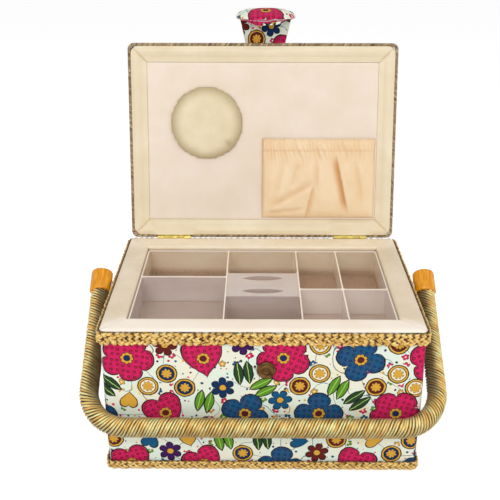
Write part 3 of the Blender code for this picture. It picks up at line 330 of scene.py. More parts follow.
INK = srgb(26, 20, 24)
MAGENTA = srgb(214, 28, 96)
MAROON = srgb(96, 24, 22)
NAVY = srgb(10, 44, 86)
TEAL = srgb(12, 84, 126)
GREEN = srgb(92, 150, 34)
DEEP_GREEN = srgb(32, 66, 36)
PALE_GREEN = srgb(190, 214, 120)
GOLD = srgb(216, 164, 58)
PURPLE = srgb(58, 18, 84)
CREAM = srgb(240, 228, 196)
GREY = srgb(96, 112, 120)

# Up to these shares the middling motifs are rosettes, blooms and leaves, and the rest are hearts
ROSETTES, BLOOMS, LEAVES = 0.34, 0.60, 0.84


def drawn(colour, shape, width, fill, where=None):
    """A shape filled and outlined in ink over a colour, only where a mask says so."""
    for share, tint in ((inside(shape), fill), (stroke(shape, width), INK)):
        colour = mix(share if where is None else share * where, colour, tint)
    return colour


def motif(colour, local, chance):
    """Draws a rosette, a bloom, a pair of leaves or a heart over a colour; all sizes in millimetres."""
    radius, apart = 9.6, 4.6
    turn, tone, kind = chance.split()
    spun = turned(local, turn)
    far = local.length()
    x, y, _ = spun.split()
    vein = abs(y) - apart
    shapes = (far - radius, flower(spun, 11.0, 6.0, 0.5), leaf(x, vein, 12.0, 0.36), heart(spun, radius))
    shape = pick(kind, (ROSETTES, BLOOMS, LEAVES), shapes)
    tints = (pick(tone, (0.34, 0.67), (NAVY, CREAM, MAROON)),
             pick(tone, (0.35, 0.6, 0.85), (NAVY, MAROON, TEAL, PURPLE)),
             pick(tone, (0.5,), (GREEN, DEEP_GREEN)), pick(tone, (0.5,), (TEAL, GOLD)))
    tint = pick(kind, (ROSETTES, BLOOMS, LEAVES), tints)
    is_rosette = kind < ROSETTES
    is_bloom, is_leaves = (kind.do("COMPARE", (low + high) / 2, (high - low) / 2)
                           for low, high in ((ROSETTES, BLOOMS), (BLOOMS, LEAVES)))
    tint = mix(fade(far, 7.1, 7.3) * is_rosette, tint, GOLD)
    tint = mix(stroke(far - 7.2, 0.36) * is_rosette, tint, INK)
    tint = drawn(tint, flower(spun, 5.2, 8.0, 0.55), 0.22, GOLD, is_rosette)
    tint = mix(inside(far - 3.3) * is_bloom, tint, GOLD)
    tint = mix(stroke(far - 3.4, 0.35) * is_bloom, tint, INK)
    tint = mix(stroke(vein, 0.3) * is_leaves, tint, PALE_GREEN)
    return drawn(colour, shape, 0.55, tint)


def print_cloth():
    """Pale cotton with a generic print of flowers, hearts, leaves and rosettes, in millimetres of UV."""
    g = Graph("print_cloth")
    place = g.uv() * (1000.0, 1000.0, 0.0)
    wobble = noise(place, 0.22, 2.0, out=1) - (0.5, 0.5, 0.5)
    place = place + wobble * (1.5, 1.5, 0.0)
    colour = mix(fade(noise(place, 0.035, 1.0), 0.42, 0.62), srgb(224, 236, 222), srgb(236, 234, 214))
    colour = mix(fade(noise(place, 0.05, 1.0), 0.6, 0.75, 0.0, 0.7), colour, srgb(244, 226, 160))
    colour = mix(stroke(noise(place, 0.032, 0.0) - 0.5, 0.0046, 0.0020), colour, GREY)

    # Large motifs in a brick pattern, middling ones beside and between them, small ones and dots
    width, height = 72.0, 60.0
    left, down = shift = (9.0, 26.0)
    x, y, _ = place.split()
    odd = abs(((y + down) / height).do("FLOOR")).do("MODULO", 2.0)
    brick = join(odd.line(width / 2, x), y)
    big, big_chance = cell(brick, width, height, shift, 2.0, 3.0)
    beside, beside_chance = cell(brick, width, height / 2, (left + width / 2, down), 1.2, 7.0)
    between, between_chance = cell(place, width / 2, height, (left, down + height / 2), 1.2, 29.0)
    small, small_chance = cell(brick, 12.0, 10.0, shift, 1.6, 11.0)
    dot, dot_chance = cell(brick, 6.0, 6.0, (2.0, 2.0), 1.5, 17.0)
    free = beside.length().do("MINIMUM", between.length()) > 11.5

    tone, size, kind = dot_chance.split()
    spot = inside(dot.length() - size.line(1.0, 0.5)) * ((kind > 0.5) * free)
    palette = (MAGENTA, TEAL, DEEP_GREEN, GOLD, PURPLE, MAROON)
    colour = mix(spot, colour, pick(tone, (0.3, 0.5, 0.65, 0.8, 0.9), palette))

    turn, tone, kind = small_chance.split()
    show = (kind > 0.66) * free
    tint = pick(tone, (0.35, 0.6, 0.8), (MAGENTA, GOLD, TEAL, GREEN))
    colour = drawn(colour, flower(turned(small, turn), 3.4, 5.0, 0.5), 0.28, tint, show)
    colour = mix(inside(small.length() - 0.9) * show, colour, CREAM)

    colour = motif(colour, beside, beside_chance)
    colour = motif(colour, between, between_chance)

    turn, _, kind = big_chance.split()
    spun = turned(big, turn.line(0.16, -0.08))
    bloom_or_heart = (flower(spun, 25.0, 5.0, 0.30), heart(spun, 22.0), flower(spun, 23.0, 4.0, 0.5))
    shape = pick(kind, (0.45, 0.8), bloom_or_heart)
    tint = pick(kind, (0.45, 0.8), (MAGENTA, MAGENTA, TEAL))
    tint = mix(fade(noise(place, 0.12, 1.0), 0.35, 0.7, 0.0, 0.22), tint, MAROON)
    pip, _ = cell(spun, 5.6, 5.6, jitter=0.6, seed=23.0)
    pip_tint = pick(kind, (0.8,), (MAROON, NAVY))
    tint = mix(stroke(pip.length() - 1.1, 0.42) * fade(shape, -1.6, -2.0), tint, pip_tint)
    tint = mix(stroke(shape + 1.9, 0.3), tint, pip_tint)
    tint = drawn(tint, flower(spun, 6.4, 8.0, 0.3), 0.4, GOLD)
    tint = drawn(tint, big.length() - 3.0, 0.35, pick(kind, (0.5,), (NAVY, MAROON)))
    colour = drawn(colour, shape, 0.7, tint)

    worn, thread = noise(place, 0.9, 3.0), 0.55
    colour = mix(fade(worn, 0.3, 0.7, 0.0, 0.16), colour, (0.75, 0.74, 0.70, 1.0), "MULTIPLY")
    warp, weft = ((along * (TAU / thread)).do("SINE") for along in place.split()[:2])
    weave = warp * weft
    height = weave.line(0.3, noise(place, 0.06, 2.0) * 6.0)
    return g.finish(colour=colour, rough=fade(weave, -1.0, 1.0, 0.86, 0.76), sheen=0.03, sheen_rough=0.5,
                    normal=bump(height, 0.00012, 0.6), specular=0.18)


def rim_painted_light(place):
    """Painted light on the rim's satin: palest along the front and a little deeper along the two sides,
    as light falls on each strip.
    """
    x, y, _ = place.split()
    mitre = (abs(x) - MOUTH_X).do("MAXIMUM", 0.0) * 0.5
    front = fade(y + mitre, -0.078, -0.096, kind="SMOOTHSTEP")
    back = fade(y - mitre, 0.066, 0.086, kind="SMOOTHSTEP")
    light = mix(back, mix(front, srgb(236, 220, 195), srgb(254, 244, 230)), srgb(250, 236, 212))
    dark = mix(back, mix(front, srgb(222, 203, 172), srgb(250, 234, 216)), srgb(240, 220, 188))
    return light, dark


def satin(name, light=None, dark=None, fold=None, wrinkle=0.0006, shine=0.42, light_and_shade=None):
    """Smooth satin with soft wrinkles; where an attribute gives it, painted shade darkens the hollows.
    """
    g = Graph(name)
    place = g.place()
    # Some satins take painted light and shade, as two colours, from a function of place.
    if light_and_shade:
        light, dark = light_and_shade(place)
    soft = noise(place, 26.0, 3.0, 0.55)
    fine = noise(place * (1.0, 1.0, 0.5), 150.0, 3.0, 0.6)
    colour = mix(fade(soft, 0.3, 0.72), light, dark)
    colour = mix(fade(fine, 0.45, 0.8, 0.0, 0.25), colour, dark)
    # Painted shade in hollows and creases, in the fold colour, as strong as the attribute gives.
    if fold:
        colour = mix(g.attribute("crease_shade").do("MULTIPLY", 1.0, use_clamp=True), colour, fold)
    x, _, z = place.split()
    thread = ((x + z * 0.6) * (TAU / 0.0005)).do("SINE")
    height = thread.line(0.02, fine.line(0.25, soft))
    return g.finish(colour=colour, rough=fade(fine, 0.3, 0.7, shine, shine + 0.12), sheen=0.25,
                    normal=bump(height, wrinkle, 0.8), sheen_rough=0.35, specular=0.45)


def fibre(name, light, mid, dark, lines=5.0, rough=0.62, split=0.9):
    """Straw or twine: long fibres along a strand's own length (u in metres), v once round it."""
    g = Graph(name)
    u, v, _ = g.uv().split()
    shade = g.attribute("shade")
    streak = noise(join(u * 90.0, v * lines, shade * 37.0), 1.0, 4.0, 0.6)
    patch = noise(join(u * 160.0, shade * 53.0), 1.0, 2.0)
    colour = mix(fade(streak, 0.42, 0.58), mid, light)
    colour = mix(fade(patch, 0.45, 0.70, 0.0, 0.7), colour, mid)
    colour = mix(fade(streak, 0.42, 0.32, 0.0, split), colour, dark)
    # Strands with a high shade are darker: at random, and as painted shade on the bottom plait and the
    # strip behind the strands.
    colour = mix(fade(shade, 0.6, 1.0, 0.0, 0.45), colour, dark)
    # The deep attribute paints shade where strands lie deep or turn into the handle.
    colour = mix(g.attribute("deep").do("MULTIPLY", 0.94, use_clamp=True), colour, dark)
    height = (v * (TAU * lines)).do("SINE").line(0.3, streak)
    return g.finish(colour=colour, rough=fade(streak, 0.3, 0.7, rough + 0.15, rough - 0.05),
                    normal=bump(height, 0.0003, 0.9), sheen=0.1, specular=0.4)


def metal(name, light, dark, rough, grain=400.0):
    g = Graph(name)
    place = g.place()
    scratch = noise(place * (1.0, 9.0, 9.0), grain, 2.0)
    colour = mix(fade(noise(place, grain * 0.4, 3.0, 0.6), 0.35, 0.7), light, dark)
    return g.finish(colour=colour, rough=fade(scratch, 0.35, 0.7, rough - 0.08, rough + 0.12), metal=1.0,
                    normal=bump(scratch, 0.00006, 0.5))


def plain_wood():
    g = Graph("plain_wood")
    place = g.place() * (3.0, 22.0, 22.0)
    rings = noise(place, 6.0, 4.0, 0.6)
    pores = noise(place * (2.0, 4.0, 4.0), 18.0, 2.0)
    colour = mix(fade(rings, 0.35, 0.65), srgb(214, 182, 138), srgb(176, 136, 90))
    colour = mix(fade(pores, 0.6, 0.8, 0.0, 0.4), colour, srgb(120, 86, 54))
    return g.finish(colour=colour, rough=fade(rings, 0.3, 0.7, 0.62, 0.74),
                    normal=bump(rings, 0.0003, 0.5))


def orange_cap():
    g = Graph("orange_cap")
    u, v, _ = g.uv().split()
    grain = noise(join(u * 60.0, v * 26.0), 1.0, 4.0, 0.6)
    cloud = noise(g.place(), 90.0, 2.0)
    colour = mix(fade(grain, 0.35, 0.68), srgb(244, 168, 22), srgb(196, 116, 6))
    colour = mix(fade(cloud, 0.55, 0.8, 0.0, 0.3), colour, srgb(250, 182, 48))
    return g.finish(colour=colour, rough=fade(grain, 0.3, 0.7, 0.28, 0.4), coat=0.12, coat_rough=0.2,
                    normal=bump(grain, 0.00012, 0.5), specular=0.3)


def clear_plastic():
    """Thin clear plastic, tinted by place: front rooms, raised step, back rooms, floor and top edges;
    the shade below the step, low in the back rooms and on the floor is painted, and so is the highlight
    on the top edges.
    """
    g = Graph("clear_plastic")
    step_x, front_wall = 0.0372, -0.0857
    place = g.place()
    flow = noise(place * (1.0, 1.0, 2.0), 30.0, 2.0)
    dust = noise(place, 700.0, 2.0)
    edge = g.node("ShaderNodeLayerWeight", (0.35,), 1)
    x, y, z = place.split()
    within = fade(y, front_wall, front_wall + 0.0007)
    front = mix(fade(flow, 0.35, 0.7), srgb(232, 220, 216), srgb(220, 208, 206))
    front = mix(fade(x, step_x, step_x + 0.0006) * within, front, srgb(248, 236, 230))
    # Painted shade below the step's top.
    shade_under_step = x.do("COMPARE", 0.0, step_x) * within * fade(z, 0.1488, 0.1478)
    front = mix(shade_under_step, front, srgb(214, 198, 192))
    back = mix(fade(flow, 0.35, 0.7), srgb(255, 240, 214), srgb(252, 228, 196))
    # Painted shade, darker towards the floor of the back rooms.
    back = mix(fade(z, 0.132, 0.122, 0.0, 0.7, "SMOOTHSTEP"), back, srgb(176, 124, 96))
    rear = fade(y, 0.020, 0.044)
    colour = mix(rear, front, back)
    # Painted shade on the floor.
    colour = mix(fade(z, 0.1225, 0.1212) * 0.5, colour, srgb(200, 168, 140))
    # Painted highlight along the top edges.
    top = fade(z, 0.1490, 0.1500)
    colour = mix(top, colour, srgb(255, 244, 230))
    alpha = fade(edge, 0.0, 0.9, 0.0, 0.30) + fade(rear, 0.0, 1.0, 0.36, 0.34)
    alpha = top.line(0.4, dust.line(0.05, alpha), use_clamp=True)
    return g.finish(colour=colour, rough=fade(dust, 0.3, 0.7, 0.12, 0.24), alpha=alpha,
                    normal=bump(flow, 0.0006, 0.35), specular=0.6)


def card():
    g = Graph("lining_card")
    soft, fine = noise(g.place(), 40.0, 3.0), noise(g.place(), 900.0, 2.0)
    colour = mix(fade(soft, 0.3, 0.7), srgb(255, 240, 216), srgb(250, 228, 198))
    return g.finish(colour=colour, rough=fade(fine, 0.3, 0.7, 0.6, 0.75),
                    normal=bump(fine.line(0.2, soft), 0.0003, 0.6))


def elastic_band():
    g = Graph("elastic_band")
    rib = (g.place().split()[2] * (TAU / 0.0009)).do("SINE")
    colour = mix(fade(rib, -0.5, 0.8), srgb(226, 212, 186), srgb(246, 236, 214))
    return g.finish(colour=colour, rough=fade(noise(g.place(), 800.0, 2.0), 0.3, 0.7, 0.7, 0.82),
                    normal=bump(rib, 0.0002, 0.7))


def dark_core():
    g = Graph("twine_core")
    tone = noise(g.place(), 300.0, 3.0)
    return g.finish(colour=mix(tone, srgb(70, 50, 28), srgb(104, 76, 44)), rough=0.85)


PRINT = print_cloth()
# The rim satin's colours are painted light: palest at the front, deeper at the sides.
RIM_SATIN = satin("rim_satin", wrinkle=0.0004, light_and_shade=rim_painted_light)
LID_SATIN = satin("lid_border_satin", srgb(236, 222, 192), srgb(226, 208, 174), wrinkle=0.0003)
FIELD_SATIN = satin("lid_field_satin", srgb(238, 222, 206), srgb(230, 212, 190), wrinkle=0.0003)
# The third colour of the next two satins is their painted shade in hollows and creases.
CUSHION_SATIN = satin("cushion_satin", srgb(236, 220, 188), srgb(220, 202, 164), srgb(168, 146, 104))
POCKET_SATIN = satin("pocket_satin", srgb(244, 220, 182), srgb(236, 204, 160), srgb(212, 152, 84),
                     shine=0.36)
STRAW = fibre("straw", srgb(252, 222, 142), srgb(214, 162, 70), srgb(74, 42, 10), rough=0.5)
TWINE = fibre("twine", srgb(255, 246, 172), srgb(244, 192, 96), srgb(40, 24, 8), 2.0, 0.42, 0.25)
CORD = fibre("edge_cord", srgb(216, 192, 148), srgb(136, 106, 68), srgb(38, 28, 22), 3.0)
BRASS = metal("hinge_brass", srgb(214, 196, 110), srgb(186, 160, 84), 0.30)
BRONZE = metal("snap_bronze", srgb(112, 82, 48), srgb(62, 42, 22), 0.36)
STEEL = metal("steel", srgb(190, 190, 192), srgb(150, 150, 154), 0.34)
WOOD = plain_wood()
CAP = orange_cap()
CLEAR = clear_plastic()
CARD = card()
ELASTIC = elastic_band()
TWINE_CORE = dark_core()

# The material of each CAD node that still shows, by the first of these words that its name holds
NODE_LOOKS = (("hinge", BRASS), ("stud", BRONZE), ("snap", STEEL), ("bolt", STEEL), ("spacer", STEEL),
              ("handle_core", TWINE_CORE), ("board", WOOD), ("lining_", CARD), ("ledge", CARD),
              ("pincushion_base", CARD), ("pocket_elastic", ELASTIC), ("", FIELD_SATIN))


def grid(*parts):
    """Points from their coordinates, each an array or one number."""
    return np.stack(np.broadcast_arrays(*parts), axis=-1)


def raised(plan, z):
    return grid(plan[..., 0], plan[..., 1], z)


def ease(value, low, high):
    """0 at low, 1 at high and smooth between."""
    t = np.clip((np.asarray(value, float) - low) / (high - low), 0, 1)
    return t * t * (3 - 2 * t)


def crest(distance, radius):
    """A quarter round: 0 at an edge, 1 from radius inwards."""
    t = 1 - np.clip(distance / radius, 0, 1)
    return np.sqrt(np.clip(1 - t * t, 0, 1))


def bell(value, middle, width, power=2):
    return np.exp(-((value - middle) / width) ** power)


def swell(points, size, seed):
    """Smooth, repeatable unevenness, from about -1 to 1, with features of about that size."""
    points = np.asarray(points, float)
    chance = np.random.default_rng(seed)
    total = np.zeros(points.shape[:-1])
    for _ in range(8):
        way = chance.normal(size=points.shape[-1])
        way /= np.linalg.norm(way)
        total += np.sin(points @ way * TAU * chance.uniform(0.6, 1.5) / size + chance.uniform(0, TAU))
    return total / 3.2


def lengths(path):
    """How far along a path each of its points is."""
    return np.concatenate([[0.0], np.cumsum(np.linalg.norm(np.diff(path, axis=0), axis=1))])


def about_x(points, angle, y, z):
    """Points turned about an axis along x, which is then moved to its place."""
    p = np.asarray(points, float)
    sine, cosine = math.sin(angle), math.cos(angle)
    ahead, up = p[..., 1], p[..., 2]
    return grid(p[..., 0], y + ahead * cosine - up * sine, z + ahead * sine + up * cosine)


def from_lid(points):
    """World places at rest for points in the lid's closed frame."""
    return about_x(points, -QUARTER - LEAN, HINGE_Y, HINGE_Z)


def from_handle(points):
    """World places at rest for points in the handle's frame, where its arms point to -Y."""
    return about_x(points, HANDLE_ANGLE, 0.0, PIVOT_Z)


def on_lining(x, up, height):
    """Lid places from the width, the way up from the hinge axis and the height off the satin field."""
    return from_lid(grid(x, -up, FIELD_Z - height))


def quads(rows, columns, wrap_rows=False, wrap_columns=False, start=0, flip=False):
    """The faces of a grid of points that is stored row by row."""
    r = np.arange(rows if wrap_rows else rows - 1)
    c = np.arange(columns if wrap_columns else columns - 1)
    r, c = np.meshgrid(r, c, indexing="ij")
    r1, c1 = (r + 1) % rows, (c + 1) % columns
    q = start + grid(r * columns + c, r * columns + c1, r1 * columns + c1, r1 * columns + c)
    return (q[..., ::-1] if flip else q).reshape(-1, 4).tolist()


def poled(rows, columns):
    """The faces of a closed form: one point, rings of points and another point."""
    faces = quads(rows, columns, False, True, start=1)
    last = rows * columns + 1
    for i in range(columns):
        j = (i + 1) % columns
        faces += [[0, 1 + j, 1 + i], [last, last - columns + i, last - columns + j]]
    return faces


def build(name, points, faces, material, uv=None, wrap=(None, None), values=None, smooth=True):
    """A mesh object; wrap gives the length after which a coordinate of uv starts again."""
    mesh = bpy.data.meshes.new(name)
    mesh.from_pydata(np.asarray(points, float).reshape(-1, 3).tolist(), [], faces)
    if uv is not None:
        corners = np.array([corner.vertex_index for corner in mesh.loops])
        starts = np.array([face.loop_start for face in mesh.polygons])
        totals = np.array([face.loop_total for face in mesh.polygons])
        place = np.asarray(uv, float).reshape(-1, 2)[corners]
        owner = np.repeat(np.arange(len(starts)), totals)
        for axis, period in enumerate(wrap):
            if period:
                top = np.maximum.reduceat(place[:, axis], starts)[owner]
                place[top - place[:, axis] > period / 2, axis] += period
        mesh.uv_layers.new(name="UVMap").data.foreach_set("uv", place.astype(np.float32).ravel())
    for key, numbers in (values or {}).items():
        set_values(mesh, key, numbers)
    mesh.materials.append(material)
    bm = bmesh.new()
    bm.from_mesh(mesh)
    bmesh.ops.recalc_face_normals(bm, faces=bm.faces)
    bm.to_mesh(mesh)
    bm.free()
    set_smooth(mesh, smooth)
    return placed(name, mesh)


def placed(name, data):
    """An object in the scene for a mesh, a lamp or a camera."""
    obj = bpy.data.objects.new(name, data)
    bpy.context.scene.collection.objects.link(obj)
    return obj


def set_smooth(mesh, smooth=True):
    mesh.polygons.foreach_set("use_smooth", [smooth] * len(mesh.polygons))


def set_values(mesh, name, numbers):
    layer = mesh.attributes.new(name, "FLOAT", "POINT")
    layer.data.foreach_set("value", np.asarray(numbers, np.float32).ravel())


def points_of(obj):
    return np.array([v.co for v in obj.data.vertices])


def taken(obj):
    """The points and faces of an object, which is removed."""
    points, faces = points_of(obj), [list(f.vertices) for f in obj.data.polygons]
    bpy.data.objects.remove(obj)
    return points, faces


def modified(obj, kind=None, **settings):
    """Adds a modifier, if a kind is given, and puts the result of all modifiers into the mesh."""
    if kind:
        modifier = obj.modifiers.new("shape", kind)
        for key, value in settings.items():
            setattr(modifier, key, value)
    bpy.context.view_layer.update()
    depsgraph = bpy.context.evaluated_depsgraph_get()
    mesh = bpy.data.meshes.new_from_object(obj.evaluated_get(depsgraph))
    obj.modifiers.clear()
    old = obj.data
    obj.data = mesh
    bpy.data.meshes.remove(old)


class Loop:
    """A rounded rectangle in plan, measured from the middle of the back by the left side."""

    def __init__(self, half_x, half_y, radius):
        self.radius = radius
        self.arc = radius * QUARTER
        self.a, self.b = half_x - radius, half_y - radius
        self.total = 4 * (self.a + self.b + self.arc)

    def at(self, along):
        """Places and outward ways."""
        a, b, start = self.a, self.b, 0.0
        s = np.mod(np.asarray(along, float) - a, self.total)
        place, way = np.zeros((len(s), 2)), np.zeros((len(s), 2))
        corners = ((-a, b, 2 * b), (-a, -b, 2 * a), (a, -b, 2 * b), (a, b, 2 * a))
        for number, (x, y, straight) in enumerate(corners):
            here = s >= start
            t = s[here] - start
            angle = QUARTER * (number + 1) + np.minimum(t / self.radius, QUARTER)
            way[here] = grid(np.cos(angle), np.sin(angle))
            ahead = grid(-np.sin(angle), np.cos(angle)) * np.maximum(t - self.arc, 0)[:, None]
            place[here] = (x, y) + self.radius * way[here] + ahead
            start += self.arc + straight
        return place, way

    def stations(self, step, arc_steps=5):
        """Lengths along it, closer together at its corners."""
        a, b, arc = self.a, self.b, self.arc
        found, start = [], 0.0
        for number, length in enumerate((a, arc, 2 * b, arc, 2 * a, arc, 2 * b, arc, a)):
            count = arc_steps if number % 2 else max(1, round(length / step))
            found.extend(start + length * i / count for i in range(count))
            start += length
        return np.array(found)

    def even(self, count):
        return np.arange(count) * self.total / count


def oval(width, thick, count, ribs=0.0):
    angle = np.arange(count) * TAU / count
    reach = 1 + ribs * np.cos(angle * count / 2)
    return grid(width * np.cos(angle) * reach, thick * np.sin(angle) * reach)


def tube(path, out, section, closed=False):
    """Points, faces, uv and length of a tube; section holds (side, out) offsets, alike or by place."""
    path, out = np.asarray(path, float), np.asarray(out, float)
    ahead = np.roll(path, -1, 0) - np.roll(path, 1, 0) if closed else np.gradient(path, axis=0)
    ahead /= np.linalg.norm(ahead, axis=1)[:, None]
    up = out - (out * ahead).sum(1)[:, None] * ahead
    up /= np.linalg.norm(up, axis=1)[:, None]
    side = np.cross(ahead, up)
    section = np.broadcast_to(section, (len(path), *np.shape(section)[-2:]))
    points = path[:, None] + side[:, None] * section[..., :1] + up[:, None] * section[..., 1:]
    rows, columns = points.shape[:2]
    faces = quads(rows, columns, closed, True)
    if not closed:
        faces += [list(range(columns))[::-1], [(rows - 1) * columns + i for i in range(columns)]]
    along = lengths(path)
    uv = grid(along[:, None], np.arange(columns) / columns).reshape(-1, 2)
    total = along[-1] + (np.linalg.norm(path[0] - path[-1]) if closed else 0.0)
    return points.reshape(-1, 3), faces, uv, total


def gathered(name, parts, material, shades, depth_shades, closed=True, place=None):
    """One object from several tubes, each with a shade of its own and, at each point, painted shade
    mostly from its depth.
    """
    points, faces, uv, shade = [], [], [], []
    count = 0
    for (p, f, w, _), tone in zip(parts, shades):
        faces.extend([[i + count for i in face] for face in f])
        points.append(place(p) if place else p)
        uv.append(w)
        shade.append(np.full(len(p), tone))
        count += len(p)
    longest = max(part[3] for part in parts)
    return build(name, np.concatenate(points), faces, material, np.concatenate(uv),
                 (longest if closed else None, 1.0),
                 {"shade": np.concatenate(shade), "deep": np.concatenate(depth_shades)})


def depth_from(points, path, low, high, ways=None):
    """How deep a tube's points lie: 0 at high and beyond, 1 at low, from a path or along its ways."""
    columns = len(points) // len(path)
    away = points - np.repeat(path, columns, axis=0)
    if ways is None:
        far = np.linalg.norm(away, axis=1)
    else:
        far = (away * np.repeat(ways, columns, axis=0)).sum(1)
    return ease(far, high, low)


def wander(chance, turns, low, high, waves):
    """A slow, random drift of a strand along its way, which turns counts from 0 to 1."""
    return sum(chance.uniform(low, high) * np.sin(TAU * n * turns + chance.uniform(0, TAU))
               for n in waves)


def slab(name, top, bottom, material):
    """A closed piece between two grids of points that have the same edge in plan."""
    rows, columns = top.shape[:2]
    shift = rows * columns
    faces = quads(rows, columns) + quads(rows, columns, start=shift, flip=True)
    index = np.arange(shift).reshape(rows, columns)
    edge = [*index[0], *index[1:, -1], *index[-1, -2::-1], *index[-2:0:-1, 0]]
    faces += [[b, a, a + shift, b + shift] for a, b in zip(edge, edge[1:] + edge[:1])]
    points = np.concatenate([top.reshape(-1, 3), bottom.reshape(-1, 3)])
    return build(name, points, [[int(i) for i in face] for face in faces], material)


def lathe(name, profile, sides, place, material):
    """A turned piece; profile holds (radius, height) from axis to axis, place puts it in the frame."""
    profile = np.asarray(profile, float)
    ring = np.arange(sides) * TAU / sides
    first, *_, last = profile[:, 1]
    inner = profile[1:-1]
    rings = grid(inner[:, :1] * np.cos(ring), inner[:, :1] * np.sin(ring), inner[:, 1:])
    points = np.concatenate([[(0, 0, first)], rings.reshape(-1, 3), [(0, 0, last)]])
    steps = lengths(profile)
    uv = grid(steps[1:-1, None], np.arange(sides) / sides).reshape(-1, 2)
    uv = np.concatenate([[(steps[0], 0.0)], uv, [(steps[-1], 0.0)]])
    return build(name, place(points), poled(len(inner), sides), material, uv, (None, 1.0))


def dress(obj, body, slot, *nodes, fill=None):
    """Rides on a body and stands for CAD nodes, which it hides; the slot and the fill are not used."""
    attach(obj, body)
    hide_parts(*nodes)


def inflated(name, points, faces, voxel, pressure, held_below, cap, material):
    """A closed form remeshed and blown up as cloth; its points below a height stay where they are."""
    obj = build(name, points, faces, material)
    modified(obj, "REMESH", mode="VOXEL", voxel_size=voxel)
    set_smooth(obj.data)
    rest = points_of(obj)
    held = obj.vertex_groups.new(name="held")
    held.add([int(i) for i in np.nonzero(rest[:, 2] < held_below)[0]], 1.0, "REPLACE")
    cloth = obj.modifiers.new("cloth", "CLOTH")
    own = {"uniform_pressure_force": pressure, "vertex_group_mass": held.name}
    for key, value in {**CLOTH, **own}.items():
        setattr(cloth.settings, key, value)
    cloth.settings.effector_weights.gravity = 0.0
    cloth.collision_settings.use_collision = False
    scene = bpy.context.scene
    for span in (scene, cloth.point_cache):
        span.frame_start, span.frame_end = 1, CLOTH_FRAMES
    for number in range(1, CLOTH_FRAMES + 1):
        scene.frame_set(number)
    modified(obj)
    scene.frame_set(1)
    moved = points_of(obj) - rest
    far = np.linalg.norm(moved, axis=1)[:, None]
    rest = rest + moved * np.minimum(1.0, cap / np.maximum(far, 1e-9))
    obj.data.vertices.foreach_set("co", rest.ravel())
    obj.data.update()
    return obj


def make_camera_and_light():
    scene = bpy.context.scene
    camera = placed("camera", bpy.data.cameras.new("camera"))
    camera.location = CAMERA_PLACE
    camera.rotation_euler = [math.radians(v) for v in CAMERA_TURN_DEG]
    camera.data.lens = CAMERA_LENS
    camera.data.sensor_width = CAMERA_SENSOR
    camera.data.clip_start, camera.data.clip_end = CAMERA_CLIP
    scene.camera = camera
    scene.view_settings.view_transform = "Standard"

    scene.world = bpy.data.worlds.new("studio")
    room = Graph("studio", scene.world)
    room.tree.nodes.clear()
    background = room.node("ShaderNodeBackground", (WHITE, fade(room.seen(), 0.0, 1.0, *ROOM_GLOW)))
    room.make("ShaderNodeOutputWorld", (background,))

    for name, place, size, watts in LAMPS:
        data = bpy.data.lights.new(name, "AREA")
        data.size, data.energy = size, watts
        lamp = placed(name, data)
        lamp.location = place
        lamp.rotation_euler = (Vector(LAMP_AIM) - Vector(place)).to_track_quat("-Z", "Y").to_euler()

    g = Graph("studio_floor")
    material = g.finish(colour=mix(noise(g.place(), 2.0, 1.0), *FLOOR_TONES), rough=0.9, specular=0.0,
                        glow=WHITE, glow_power=g.seen() * FLOOR_GLOW)
    corners = [(x * FLOOR_HALF, y * FLOOR_HALF, -FLOOR_DROP)
               for x, y in ((-1, -1), (1, -1), (1, 1), (-1, 1))]
    build("studio_floor", corners, [[0, 1, 2, 3]], material, smooth=False)


def paint_nodes():
    """Gives every CAD node that still shows its better material."""
    for name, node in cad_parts.items():
        node.data.materials.clear()
        node.data.materials.append(next(material for word, material in NODE_LOOKS if word in name))


def make_cover():
    """The printed cloth drawn tight round the four walls, a little uneven over the wood."""
    loop = Loop(HALF_WIDTH, HALF_DEPTH, CORNER)
    s = loop.stations(0.004)
    heights = np.linspace(COVER_LOW, COVER_HIGH, 44)[:, None]
    plan, way = loop.at(s)
    points = raised(plan, heights)
    soft = 0.55 + 0.45 * swell(points, 0.075, 5) + 0.12 * swell(points * (1, 1, 0.4), 0.018, 6)
    free = ease(heights, 0.012, 0.035) * ease(heights, 0.139, 0.122)
    lift = COVER_PUFF * np.clip(soft, 0, 1.5) * free
    from_snap = np.hypot(points[..., 0] - SNAP_X, points[..., 2] - SNAP_Z)
    lift = np.where(points[..., 1] < 0, lift * (1 - bell(from_snap, 0, 0.016)), lift)
    points[..., :2] += way * lift[..., None]
    obj = build("printed_cover", points, quads(len(heights), len(s), False, True), PRINT,
                grid(s, heights), (loop.total, None))
    modified(obj, "SOLIDIFY", thickness=COVER_THICK, offset=-1.0)
    dress(obj, "basket", "print_fabric", "body_fabric")


